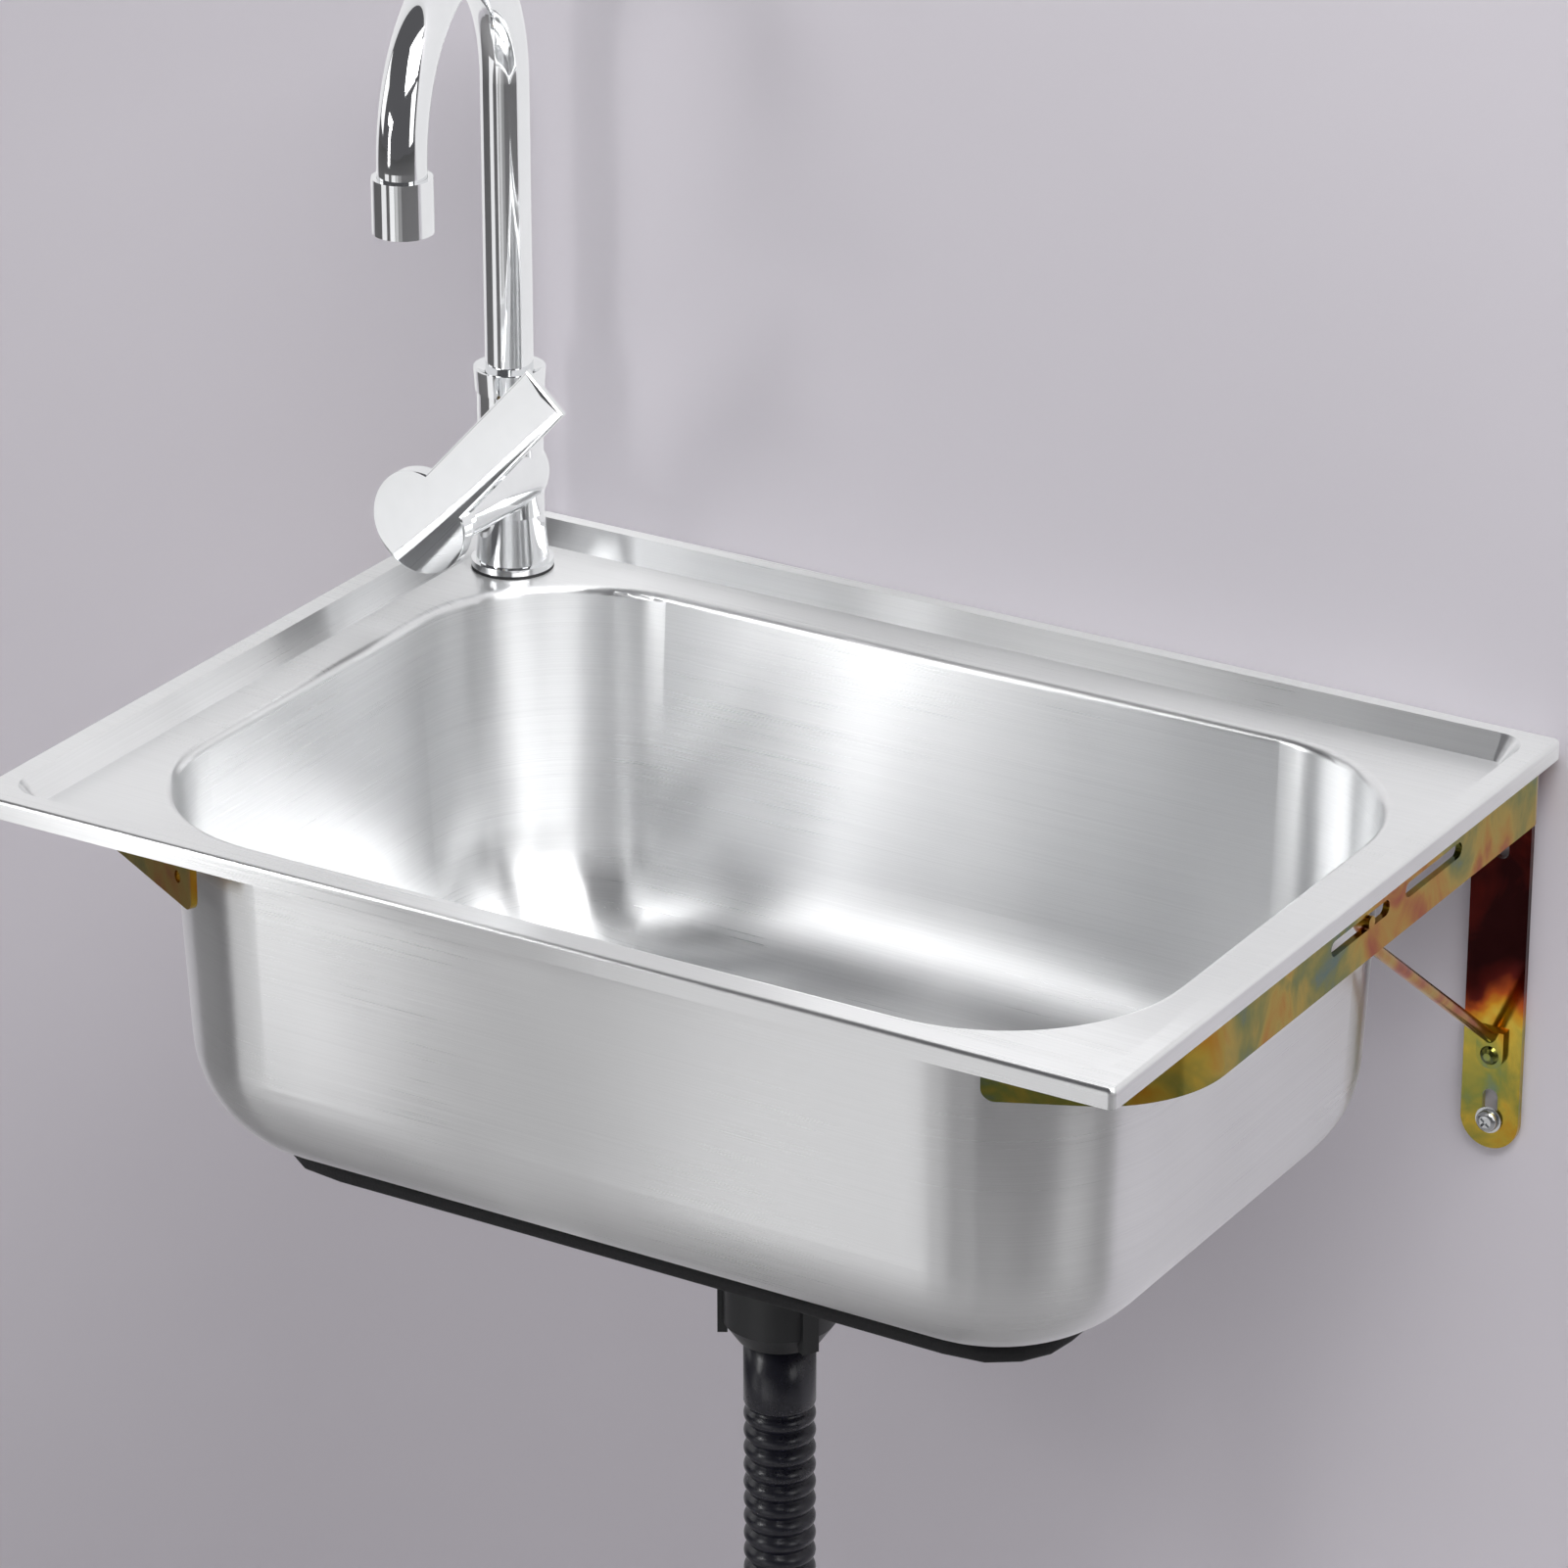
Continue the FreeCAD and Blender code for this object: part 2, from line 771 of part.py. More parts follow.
def make_basket():
    """Lift-out strainer basket with its rubber stopper and pull knob."""
    rim_low = flange_high + d.seat_gap
    outside = d.cup_width / 2 - d.cup_wall - d.basket_gap
    inside = outside - d.basket_wall
    low = -d.basket_depth
    stem = d.knob_stem / 2
    basket = keep(
        at_drain(
            "basket_strainer",
            [
                (stem + d.slip, low),
                (outside, low),
                (outside, rim_low),
                (d.basket_rim / 2, rim_low),
                (d.basket_rim / 2, rim_low + d.basket_wall),
                (inside, rim_low + d.basket_wall),
                (inside, low + d.basket_wall),
                (stem + d.slip, low + d.basket_wall),
            ],
        )
    )
    drill_ring(basket, low + d.basket_wall, d.basket_hole_circle, d.basket_hole, d.basket_wall, 10)
    stopper_low = low - d.stopper_thick
    bore = d.knob_stem + d.slip * 2
    keep(ring("basket_stopper", bore, d.stopper_width, stopper_low, low, drain_x, drain_y, floor_top))
    knob = d.knob_width / 2
    grip_low = low + d.knob_rise - d.knob_high
    grip_high = low + d.knob_rise
    keep(
        at_drain(
            "basket_knob",
            [
                (ZERO, stopper_low),
                (stem, stopper_low),
                (stem, grip_low),
                (knob, grip_low + d.knob_edge),
                (knob, grip_high - d.knob_edge),
                (d.knob_crown / 2, grip_high),
                (ZERO, grip_high),
            ],
        )
    )


def make_hose_nut():
    """Black union nut with three lugs, and the cone seal inside it."""
    thread = d.outlet_width / 2 + d.slip
    outside = d.nut_width / 2
    neck = d.hose_width / 2 + d.slip
    turn = FreeCAD.Rotation(FreeCAD.Vector(0, 0, 1), d.nut_turn_angle.number)
    body = keep(
        turned(
            "hose_nut",
            [
                (thread, nut_top),
                (outside, nut_top),
                (outside, nut_low + d.nut_chamfer),
                (neck + d.nut_mouth_edge, nut_low),
                (neck, nut_low),
                (neck, collar_low),
                (thread, collar_low),
            ],
            drain_x,
            drain_y,
            floor_top,
            turn,
        )
    )
    half = d.nut_lug_width / 2
    start = outside - d.nut_lug_root
    lug = new_sketch(body, "XY_Plane", nut_top)
    add_box(lug, start, d.nut_lug_reach, -half, half)
    one = pad(body, lug, nut_top - nut_low - d.nut_lug_stop, down=True)
    lugs = body.newObject("PartDesign::PolarPattern", "lugs")
    lugs.Originals = [one]
    lugs.Axis = (lug, ["N_Axis"])
    lugs.Angle = 360
    lugs.Occurrences = 3
    body.Tip = lugs
    keep(ring("hose_seal", outlet_bore, d.outlet_width, seal_low, outlet_low, drain_x, drain_y, floor_top))


def make_drain_hose():
    """Straight hanging hose: collar, smooth cuff, ribs through four circles each, lower cuff and bore."""
    crest = d.hose_width.number / 2
    valley = d.hose_valley.number / 2
    pitch = d.hose_pitch.number
    collar = d.outlet_width.number / 2
    centre = FreeCAD.Vector(drain_x.number, drain_y.number, floor_top.number)
    down = FreeCAD.Vector(0, 0, -1)

    def circle(height, radius):
        return Part.Wire(Part.makeCircle(radius, centre + FreeCAD.Vector(0, 0, height), down))

    rib_start = nut_low.number - d.hose_cuff.number
    rib_end = hose_low.number + d.hose_cuff.number
    circles = [circle(nut_low.number, crest), circle(rib_start, crest)]
    for index in range(round(d.hose_ribs.number)):
        height = rib_start - index * pitch
        for share, on_crest in RIB:
            circles.append(circle(height - share * pitch, crest if on_crest else valley))
    circles += [circle(rib_end, crest), circle(hose_low.number, crest)]
    ribbed = Part.makeLoft(circles, True, True)
    collar_low_point = centre + FreeCAD.Vector(0, 0, seal_low.number)
    flange = Part.makeCylinder(collar, d.hose_collar_thick.number, collar_low_point, down)
    neck_point = centre + FreeCAD.Vector(0, 0, collar_low.number)
    neck = Part.makeCylinder(crest, d.nut_lip_thick.number, neck_point, down)
    length = seal_low.number - hose_low.number
    bore = Part.makeCylinder(hose_bore.number / 2, length, collar_low_point, down)
    hose = keep(doc.addObject("Part::Feature", "drain_hose"))
    hose.Shape = ribbed.fuse([flange, neck]).removeSplitter().cut(bore)
    print(f"drain hose: {length:.1f} mm long, {crest * 2:.1f} mm wide, straight, no bends")


def make_floor_plug():
    """Flanged sealing plug that pushes into a floor drain, sleeved on the hose's lower cuff."""
    sleeve = d.hose_width / 2 + d.slip
    top = hose_low + d.hose_cuff
    low = top - d.floor_plug_high
    land_top = top - d.floor_plug_flange
    land_low = land_top - d.floor_plug_land
    width = d.floor_plug_width / 2
    step = d.floor_plug_step
    keep(
        at_drain(
            "hose_end_plug",
            [
                (sleeve, top),
                (width + step, top),
                (width + step, land_top),
                (width, land_top),
                (width, land_low),
                (width - step, low),
                (hose_bore / 2, low),
                (hose_bore / 2, hose_low),
                (sleeve, hose_low),
            ],
        )
    )


# Tap: heights are counted from the underside of its base
spigot_top = d.tap_high + d.spigot_high
tube_radius = d.tube_width / 2
clip_low = spigot_top + d.clip_play
clip_high = clip_low + d.clip_thick
collar_inner = clip_high + d.clip_play
tube_foot = d.socket_floor + d.base_seal_thick
outlet_z = d.arch_z - d.outlet_drop


def at_tap(label, half_section):
    """A turned piece on the tap's upright axis."""
    return turned(label, half_section, tap_x, tap_y, tap_z)


def at_valve(label, half_section):
    """A turned piece on the valve's axis; heights run from the tap's axis towards the room."""
    return turned(label, half_section, tap_x, tap_y, valve_z, TO_ROOM)


def make_tap_body():
    """Chrome body: shank with a thread relief, base, flared column, spigot and side boss, with its water ways."""
    free_top = d.shank_free - d.shank_length
    relief_top = free_top + d.shank_relief_high
    body = keep(
        at_tap(
            "tap_body",
            [
                (ZERO, -d.shank_length),
                (d.shank_width / 2, -d.shank_length),
                (d.shank_width / 2, free_top),
                (d.shank_relief / 2, free_top),
                (d.shank_relief / 2, relief_top),
                (d.shank_width / 2, relief_top),
                (d.shank_width / 2, ZERO),
                (d.tap_base / 2, ZERO),
                (d.tap_base / 2, d.tap_base_high),
                (d.tap_foot / 2, d.tap_base_high),
                (d.tap_width / 2, d.tap_flare_high),
                (d.tap_width / 2, d.tap_high),
                (d.spigot_width / 2, d.tap_high),
                (d.spigot_width / 2, spigot_top),
                (ZERO, spigot_top),
            ],
        )
    )
    boss = new_sketch(body, "XY_Plane", d.boss_z)
    radius = d.boss_width / 2
    side = add_line(boss, (radius, ZERO), (radius, -d.boss_length))
    add_line(boss, (radius, -d.boss_length), (ZERO, -d.boss_length))
    axis = add_line(boss, (ZERO, -d.boss_length), (ZERO, radius))
    circle = Part.Circle(FreeCAD.Vector(), FreeCAD.Vector(0, 0, 1), radius.number)
    back = boss.addGeometry(Part.ArcOfCircle(circle, 0, math.pi / 2), False)
    boss.addConstraint(Sketcher.Constraint("Coincident", back, 1, side, 1))
    boss.addConstraint(Sketcher.Constraint("Coincident", back, 2, axis, 2))
    boss.addConstraint(Sketcher.Constraint("PointOnObject", back, 3, -1))
    spin = body.newObject("PartDesign::Revolution", "boss")
    spin.Profile = boss
    spin.ReferenceAxis = (boss, ["V_Axis"])
    spin.Angle = 360
    inlet = d.shank_length + d.boss_z + d.inlet_bore / 2
    drill(body, "XY_Plane", -d.shank_length, ZERO, ZERO, d.inlet_bore / 2, inlet, along=True)
    drill(body, "XZ_Plane", ZERO, ZERO, d.boss_z, d.port_bore / 2, d.chamber_start, along=True)
    room = d.boss_length - d.chamber_start
    drill(body, "XZ_Plane", d.chamber_start, ZERO, d.boss_z, d.chamber_bore / 2, room, along=True)
    drill(body, "XY_Plane", spigot_top, ZERO, ZERO, d.socket_bore / 2, spigot_top - d.socket_floor)


def make_tap_fixing():
    """Base seal above the deck; rubber, washer and lock nut below it."""
    seal_low_z = -d.base_seal_thick
    keep(ring("tap_base_seal", d.tap_hole, d.tap_base, seal_low_z, ZERO, tap_x, tap_y, tap_z))
    rubber_top = seal_low_z - d.sheet
    washer_top = rubber_top - d.clamp_rubber_thick
    nut_top_z = washer_top - d.clamp_washer_thick
    bore = d.shank_width + d.slip * 2
    keep(ring("tap_rubber_washer", bore, d.clamp_rubber_width, washer_top, rubber_top, tap_x, tap_y, tap_z))
    keep(ring("tap_steel_washer", bore, d.clamp_washer_width, nut_top_z, washer_top, tap_x, tap_y, tap_z))
    nut = keep(new_body("tap_lock_nut"))
    sketch = new_sketch(nut, "XY_Plane", nut_top_z)
    flats = d.lock_nut_flats / 2
    corner = flats / cosine(HEXAGON_HALF_ANGLE)
    corners = [(corner, ZERO), (corner / 2, flats), (-corner / 2, flats)]
    corners += [(-x, -y) for x, y in corners]
    add_polygon(sketch, corners)
    pad(nut, sketch, d.lock_nut_high, down=True)
    drill(nut, "XY_Plane", nut_top_z, ZERO, ZERO, bore / 2, d.lock_nut_high)
    place(nut, tap_x, tap_y, tap_z)


def make_spout_bearing():
    """Bush in the socket, collar nut on the spigot, and the clip and seal rings on the tube."""
    socket = d.socket_bore - d.slip * 2
    tube_room = d.tube_width + d.running * 2
    keep(ring("spout_bush", tube_room, socket, spigot_top - d.bush_length, spigot_top, tap_x, tap_y, tap_z))
    hole = tube_radius + d.collar_gap
    thread = d.spigot_width / 2 + d.slip
    width = d.collar_width / 2
    top = d.tap_high + d.collar_high
    keep(
        at_tap(
            "spout_collar",
            [
                (thread, d.tap_high),
                (width - d.collar_edge / 2, d.tap_high),
                (width, top),
                (width - d.collar_edge, top),
                (hole, top - d.collar_dish),
                (hole, collar_inner),
                (thread, collar_inner),
            ],
        )
    )
    clip_bore = d.tube_width - d.clip_groove * 2 + d.slip * 2
    clip_width = d.spigot_width - d.seat_gap * 2
    keep(ring("spout_clip", clip_bore, clip_width, clip_low, clip_high, tap_x, tap_y, tap_z))
    rings = []
    for number in range(2):
        low = tube_foot + d.seal_ring_high / 2 + d.seal_ring_step * number
        bore = d.tube_width + d.slip / 2
        width = d.socket_bore - d.running * 2
        high = low + d.seal_ring_high
        rings.append(ring(f"seal_ring_{number + 1}", bore, width, low, high, tap_x, tap_y, tap_z))
    group("spout_seals", rings)


def make_spout():
    """Gooseneck tube on a path of two straight runs and a half circle, with the clip's groove."""
    body = keep(new_body("spout_tube"))
    path = new_sketch(body, "XZ_Plane")
    reach = d.arch_radius * 2
    riser = add_line(path, (ZERO, tube_foot), (ZERO, d.arch_z))
    drop = add_line(path, (reach, d.arch_z), (reach, outlet_z))
    circle = Part.Circle(vector(d.arch_radius, d.arch_z), FreeCAD.Vector(0, 0, 1), d.arch_radius.number)
    arch = path.addGeometry(Part.ArcOfCircle(circle, 0, math.pi), False)
    path.addConstraint(Sketcher.Constraint("Coincident", arch, 2, riser, 2))
    path.addConstraint(Sketcher.Constraint("Coincident", arch, 1, drop, 1))
    level = path.addConstraint(Sketcher.Constraint("DistanceY", -1, 1, arch, 3, d.arch_z.number))
    bind(path, f"Constraints[{level}]", d.arch_z)
    for kind, radius in (("Additive", tube_radius), ("Subtractive", tube_radius - d.tube_wall)):
        section = new_sketch(body, "XY_Plane", tube_foot)
        add_circle(section, ZERO, ZERO, radius)
        pipe = body.newObject(f"PartDesign::{kind}Pipe", "tube")
        pipe.Profile = section
        pipe.Spine = (path, ["Edge1", "Edge2", "Edge3"])
    cut = new_sketch(body, "XZ_Plane")
    add_box(cut, tube_radius - d.clip_groove, tube_radius + d.clip_groove, clip_low, clip_high)
    groove = body.newObject("PartDesign::Groove", "groove")
    groove.Profile = cut
    groove.ReferenceAxis = (cut, ["V_Axis"])
    groove.Angle = 360
    swing = FreeCAD.Rotation(FreeCAD.Vector(0, 0, 1), d.spout_swing.number - 90)
    place(body, tap_x, tap_y, tap_z, swing)


def make_aerator():
    """Aerator shell on the outlet, its washer and its insert with a ring of jets."""
    reach = d.arch_radius * 2
    x = tap_x + reach * sine(d.spout_swing)
    y = tap_y - reach * cosine(d.spout_swing)
    z = tap_z + outlet_z
    bore = d.tube_width / 2 + d.slip
    width = d.aerator_width / 2
    top = d.aerator_overlap
    low = top - d.aerator_length
    shelf = low + d.aerator_lip
    mouth = d.aerator_mouth / 2
    corners = [(bore, top), (width, top), (width, low), (mouth, low), (mouth, shelf), (bore, shelf)]
    keep(turned("aerator_shell", corners, x, y, z))
    washer_low = -d.aerator_washer_thick
    keep(ring("aerator_washer", d.aerator_washer_bore, d.tube_width, washer_low, ZERO, x, y, z))
    corners = [(ZERO, shelf), (tube_radius, shelf), (tube_radius, washer_low), (ZERO, washer_low)]
    insert = keep(turned("aerator_insert", corners, x, y, z))
    drill_ring(insert, washer_low, d.aerator_jet_circle, d.aerator_jet, washer_low - shelf, 8)


# Valve and lever: heights run along the valve's axis, from the tap's axis towards the room
seat_top = d.chamber_start + d.seat_ring_thick
disc_seam = seat_top + d.disc_thick
disc_top = disc_seam + d.disc_gap + d.disc_thick
room_end = seat_top + d.disc_room_depth


def make_valve():
    """Quarter-turn cartridge: seat ring, shell, fixed and turning ceramic discs, spindle and bonnet nut."""
    disc = d.disc_room_width / 2
    shaft = d.spindle_width / 2
    shell = d.chamber_bore / 2 - d.slip
    bore = d.port_bore / 2
    width = d.seat_ring_width / 2
    low = d.chamber_start
    keep(at_valve("cartridge_seal", [(bore, low), (width, low), (width, seat_top), (bore, seat_top)]))
    keep(
        at_valve(
            "valve_cartridge",
            [
                (disc, seat_top),
                (shell, seat_top),
                (shell, d.cartridge_end),
                (shaft + d.running, d.cartridge_end),
                (shaft + d.running, room_end),
                (disc, room_end),
            ],
        )
    )
    for label, low, width in (
        ("ceramic_disc_fixed", seat_top, disc - d.slip),
        ("ceramic_disc_turning", disc_seam + d.disc_gap, disc - d.running * 2),
    ):
        high = low + d.disc_thick
        plate = keep(at_valve(label, [(ZERO, low), (width, low), (width, high), (ZERO, high)]))
        drill_ring(plate, high, d.disc_port_circle, d.disc_port, d.disc_thick, 2)
    head = disc - d.running * 2
    head_top = room_end - d.spindle_head_gap
    end = lever_back + d.spindle_grip
    keep(
        at_valve(
            "valve_spindle",
            [
                (ZERO, disc_top),
                (head, disc_top),
                (head, head_top),
                (shaft, head_top),
                (shaft, end),
                (ZERO, end),
            ],
        )
    )
    bonnet = d.bonnet_bore / 2
    front = d.boss_length + d.bonnet_thick
    keep(
        at_valve(
            "cartridge_nut",
            [
                (bonnet, d.cartridge_end),
                (shell, d.cartridge_end),
                (shell, d.boss_length),
                (d.boss_width / 2, d.boss_length),
                (d.boss_width / 2, front),
                (bonnet, front),
            ],
        )
    )


def make_lever():
    """Keyhole-shaped lever: round head, tapering paddle, skirt and hub, with its grub screw."""
    body = keep(new_body("lever_handle"))
    half = d.lever_width / 2
    head = d.lever_disc / 2
    shoulder = math.degrees(math.asin(half.number / head.number))
    sketch = new_sketch(body, "XY_Plane")
    arc = add_arc(sketch, ZERO, ZERO, head, shoulder, 360 - shoulder)
    root = Size(head.number * math.cos(math.radians(shoulder)), "0")
    reach = d.lever_reach
    lower = sketch.addGeometry(Part.LineSegment(vector(root, -half), vector(reach, -half)), False)
    tip = add_line(sketch, (reach, -half), (reach, half))
    upper = sketch.addGeometry(Part.LineSegment(vector(reach, half), vector(root, half)), False)
    for first, second in ((lower, tip), (tip, upper), (arc, lower)):
        sketch.addConstraint(Sketcher.Constraint("Coincident", first, 2, second, 1))
    sketch.addConstraint(Sketcher.Constraint("Coincident", upper, 2, arc, 1))
    for line in (lower, upper):
        sketch.addConstraint(Sketcher.Constraint("Horizontal", line))
    pad(body, sketch, d.lever_thick)

    back = new_sketch(body, "XZ_Plane", -head)
    rise = d.lever_thick - d.lever_tip_thick
    below = -d.lever_thick
    past = reach + d.lever_thick
    add_polygon(back, [(head, ZERO), (reach, rise), (past, rise), (past, below), (head, below)])
    pocket(body, back, d.lever_disc, along=True)

    skirt = new_sketch(body, "XY_Plane")
    add_circle(skirt, ZERO, ZERO, d.skirt_width / 2)
    pad(body, skirt, d.skirt_depth, down=True)
    skirt_bore = d.skirt_width / 2 - d.skirt_wall
    room = new_sketch(body, "XY_Plane", -d.skirt_depth)
    add_circle(room, ZERO, ZERO, skirt_bore)
    add_circle(room, ZERO, ZERO, d.hub_width / 2)
    pocket(body, room, d.skirt_depth, along=True)
    shorten = d.skirt_depth - d.hub_depth
    drill(body, "XY_Plane", -d.skirt_depth, ZERO, ZERO, d.hub_width / 2, shorten, along=True)
    depth = d.hub_depth + d.spindle_grip
    drill(body, "XY_Plane", -d.hub_depth, ZERO, ZERO, d.spindle_width / 2 + d.slip, depth, along=True)
    grub_z = -d.hub_depth / 2
    drill(body, "XZ_Plane", ZERO, ZERO, grub_z, d.grub_width / 2 + d.slip, d.skirt_width / 2, along=True)

    round_edges(body, d.lever_round, lambda edge: level_at(edge, d.lever_thick))
    crown = new_sketch(body, "YZ_Plane", -head)
    wide = head + d.lever_thick
    above = d.lever_thick * 2
    crown_z = d.lever_thick - d.lever_crown
    spread = math.degrees(math.asin(wide.number / d.lever_crown.number))
    bow = add_arc(crown, ZERO, crown_z, d.lever_crown, 90 - spread, 90 + spread)
    lid = add_line(crown, (-wide, above), (wide, above))
    ends = crown.Geometry[bow]
    left = crown.addGeometry(Part.LineSegment(ends.EndPoint, vector(-wide, above)), False)
    right = crown.addGeometry(Part.LineSegment(vector(wide, above), ends.StartPoint), False)
    for first, second in ((bow, left), (left, lid), (lid, right), (right, bow)):
        crown.addConstraint(Sketcher.Constraint("Coincident", first, 2, second, 1))
    for line in (left, right):
        crown.addConstraint(Sketcher.Constraint("Vertical", line))
    pocket(body, crown, wide + reach, along=True)
    lift = FreeCAD.Rotation(FreeCAD.Vector(0, -1, 0), d.lever_angle.number)
    place(body, tap_x, tap_y - lever_back, valve_z, lift * TO_ROOM)

    start = d.spindle_width / 2 + d.slip
    end = d.hub_width / 2
    radius = d.grub_width / 2
    corners = [(ZERO, start), (radius, start), (radius, end), (ZERO, end)]
    downwards = lift * FreeCAD.Rotation(FreeCAD.Vector(1, 0, 0), 180)
    grub_y = tap_y - lever_back + d.hub_depth / 2
    keep(turned("lever_grub_screw", corners, tap_x, grub_y, valve_z, downwards))


# Brackets: the right-hand pieces are built, the left-hand ones are their mirror images
arm_x = recess.right + step_skin + d.arm_inset + d.arm_thick / 2
tab_y = -d.plate_thick - d.arm_thick / 2
arm_low = rim_under - d.arm_high
corner_y = opening.front + opening.radius
slot_z = rim_top - d.arm_slot_drop
screw_z = d.screw_rise / 2
rivet_z = rim_top - d.foot_rivet_drop
tab_rivets = (rim_top - d.tab_rivet_upper, rim_top - d.tab_rivet_lower)
tab_rivet_x = plate_x - d.tab_rivet_inset


def make_wall_plate():
    """Upright plate with a round foot, two slots for the wall screws and three rivet holes."""
    body = keep(new_body("wall_plate_right"))
    half = d.plate_width / 2
    top = rim_top - d.plate_top_drop
    strip = new_sketch(body, "XZ_Plane")
    add_box(strip, plate_x - half, plate_x + half, -screw_z, top)
    pad(body, strip, d.plate_thick)
    foot = new_sketch(body, "XZ_Plane")
    add_circle(foot, plate_x, -screw_z, half)
    pad(body, foot, d.plate_thick)
    slots = new_sketch(body, "XZ_Plane")
    radius = d.plate_slot_width / 2
    add_slot(slots, (plate_x, screw_z - d.plate_slot_run), (plate_x, screw_z), radius, 90)
    add_slot(slots, (plate_x, -screw_z), (plate_x, d.plate_slot_run - screw_z), radius, 90)
    pocket(body, slots, d.plate_thick, along=True)
    rivet = d.rivet_width / 2 + d.slip
    for x, z in ((plate_x, rivet_z), (tab_rivet_x, tab_rivets[0]), (tab_rivet_x, tab_rivets[1])):
        drill(body, "XZ_Plane", ZERO, x, z, rivet, d.plate_thick, along=True)
    mirrored("wall_plate_left", body)


def make_arm(label, bowl_side, turn, gap, run):
    """Flat bar on edge: rear tab on the plate, run under the rim, front end bent round the bowl.

    The end turns by an angle, clears the corner on the bowl's side by a gap and runs straight to its tip.
    """
    corner_x = bowl_side - opening.radius
    bend = d.arm_front_bend
    bowl_clear = opening.radius + d.sheet + gap + d.arm_thick / 2
    bend_room = (arm_x - bend - corner_x) * cosine(turn) + bend - bowl_clear
    bend_y = corner_y + bend_room / sine(turn)
    bend_end_x = arm_x - bend + bend * cosine(turn)
    bend_end_y = bend_y - bend * sine(turn)
    tip_x = bend_end_x - run * sine(turn)
    tip_y = bend_end_y - run * cosine(turn)

    body = new_body(label)
    path = new_sketch(body, "XY_Plane", arm_low + d.arm_high / 2)
    tab_end = arm_x - d.arm_rear_bend
    run_start = tab_y - d.arm_rear_bend
    lines = (
        add_line(path, (arm_x - d.arm_tab, tab_y), (tab_end, tab_y)),
        add_line(path, (arm_x, run_start), (arm_x, bend_y)),
        add_line(path, (bend_end_x, bend_end_y), (tip_x, tip_y)),
    )
    bends = (
        (tab_end, run_start, d.arm_rear_bend, 0, 90),
        (arm_x - bend, bend_y, bend, -turn.number, 0),
    )
    for index, (x, y, radius, start, end) in enumerate(bends):
        circle = Part.Circle(vector(x, y), FreeCAD.Vector(0, 0, 1), radius.number)
        arc = path.addGeometry(Part.ArcOfCircle(circle, math.radians(start), math.radians(end)), False)
        path.addConstraint(Sketcher.Constraint("Coincident", arc, 2, lines[index], 2))
        path.addConstraint(Sketcher.Constraint("Coincident", arc, 1, lines[index + 1], 1))
        set_radius(path, arc, radius)
    section = new_sketch(body, "YZ_Plane", arm_x - d.arm_tab)
    add_box(section, tab_y - d.arm_thick / 2, tab_y + d.arm_thick / 2, arm_low, rim_under)
    pipe = body.newObject("PartDesign::AdditivePipe", "bar")
    pipe.Profile = section
    pipe.Spine = (path, [f"Edge{number}" for number in range(1, 6)])

    notch = new_sketch(body, "XY_Plane", rim_under)
    add_box(notch, tip_x - bend, arm_x + d.arm_thick, tip_y - bend, bend_y + d.arm_thick)
    pocket(body, notch, d.step_drop + d.arm_notch)
    tip = FreeCAD.Vector(tip_x.number, tip_y.number, 0)

    def at_tip(edge):
        """True for the short edges across the bar's free end."""
        middle = edge.CenterOfMass
        away = math.hypot(middle.x - tip.x, middle.y - tip.y)
        return abs(edge.Length - d.arm_thick.number) < 0.01 and away < d.arm_thick.number / 2

    round_edges(body, d.arm_tip_round, at_tip)

    slots = new_sketch(body, "YZ_Plane", arm_x + d.arm_thick)
    radius = d.arm_slot_width / 2
    for number in range(2):
        near = -d.arm_slot_start - d.arm_slot_step * number - radius
        far = near - d.arm_slot_length + d.arm_slot_width
        add_slot(slots, (far, slot_z), (near, slot_z), radius, 0)
    pocket(body, slots, d.arm_thick * 2)
    rivet = d.rivet_width / 2 + d.slip
    for z in tab_rivets:
        drill(body, "XZ_Plane", d.plate_thick, tab_rivet_x, z, rivet, d.arm_thick, along=True)

    hole = new_sketch(body, "XZ_Plane")
    inset = d.arm_tip_hole_inset
    hole.AttachmentOffset = FreeCAD.Placement(
        FreeCAD.Vector(), FreeCAD.Rotation(FreeCAD.Vector(0, 1, 0), 90 - turn.number)
    )
    bind(hole, "AttachmentOffset.Base.x", tip_x + inset * sine(turn))
    bind(hole, "AttachmentOffset.Base.y", arm_low + d.arm_tip_hole_rise)
    bind(hole, "AttachmentOffset.Base.z", -(tip_y + inset * cosine(turn)))
    add_circle(hole, ZERO, ZERO, d.arm_tip_hole / 2)
    through = pocket(body, hole, d.arm_thick * 2)
    through.SideType = "Symmetric"
    return body


def rounded_path(points, radius):
    """A wire of straight runs through points, joined by equal tangent arcs."""
    edges = []
    start = points[0]
    for before, corner, after in zip(points, points[1:], points[2:]):
        back = (before - corner).normalize()
        ahead = (after - corner).normalize()
        half = back.getAngle(ahead) / 2
        cut = radius / math.tan(half)
        middle = (back + ahead).normalize() * (radius / math.sin(half) - radius)
        edges.append(Part.LineSegment(start, corner + back * cut).toShape())
        edges.append(Part.Arc(corner + back * cut, corner + middle, corner + ahead * cut).toShape())
        start = corner + ahead * cut
    edges.append(Part.LineSegment(start, points[-1]).toShape())
    return Part.Wire(edges)


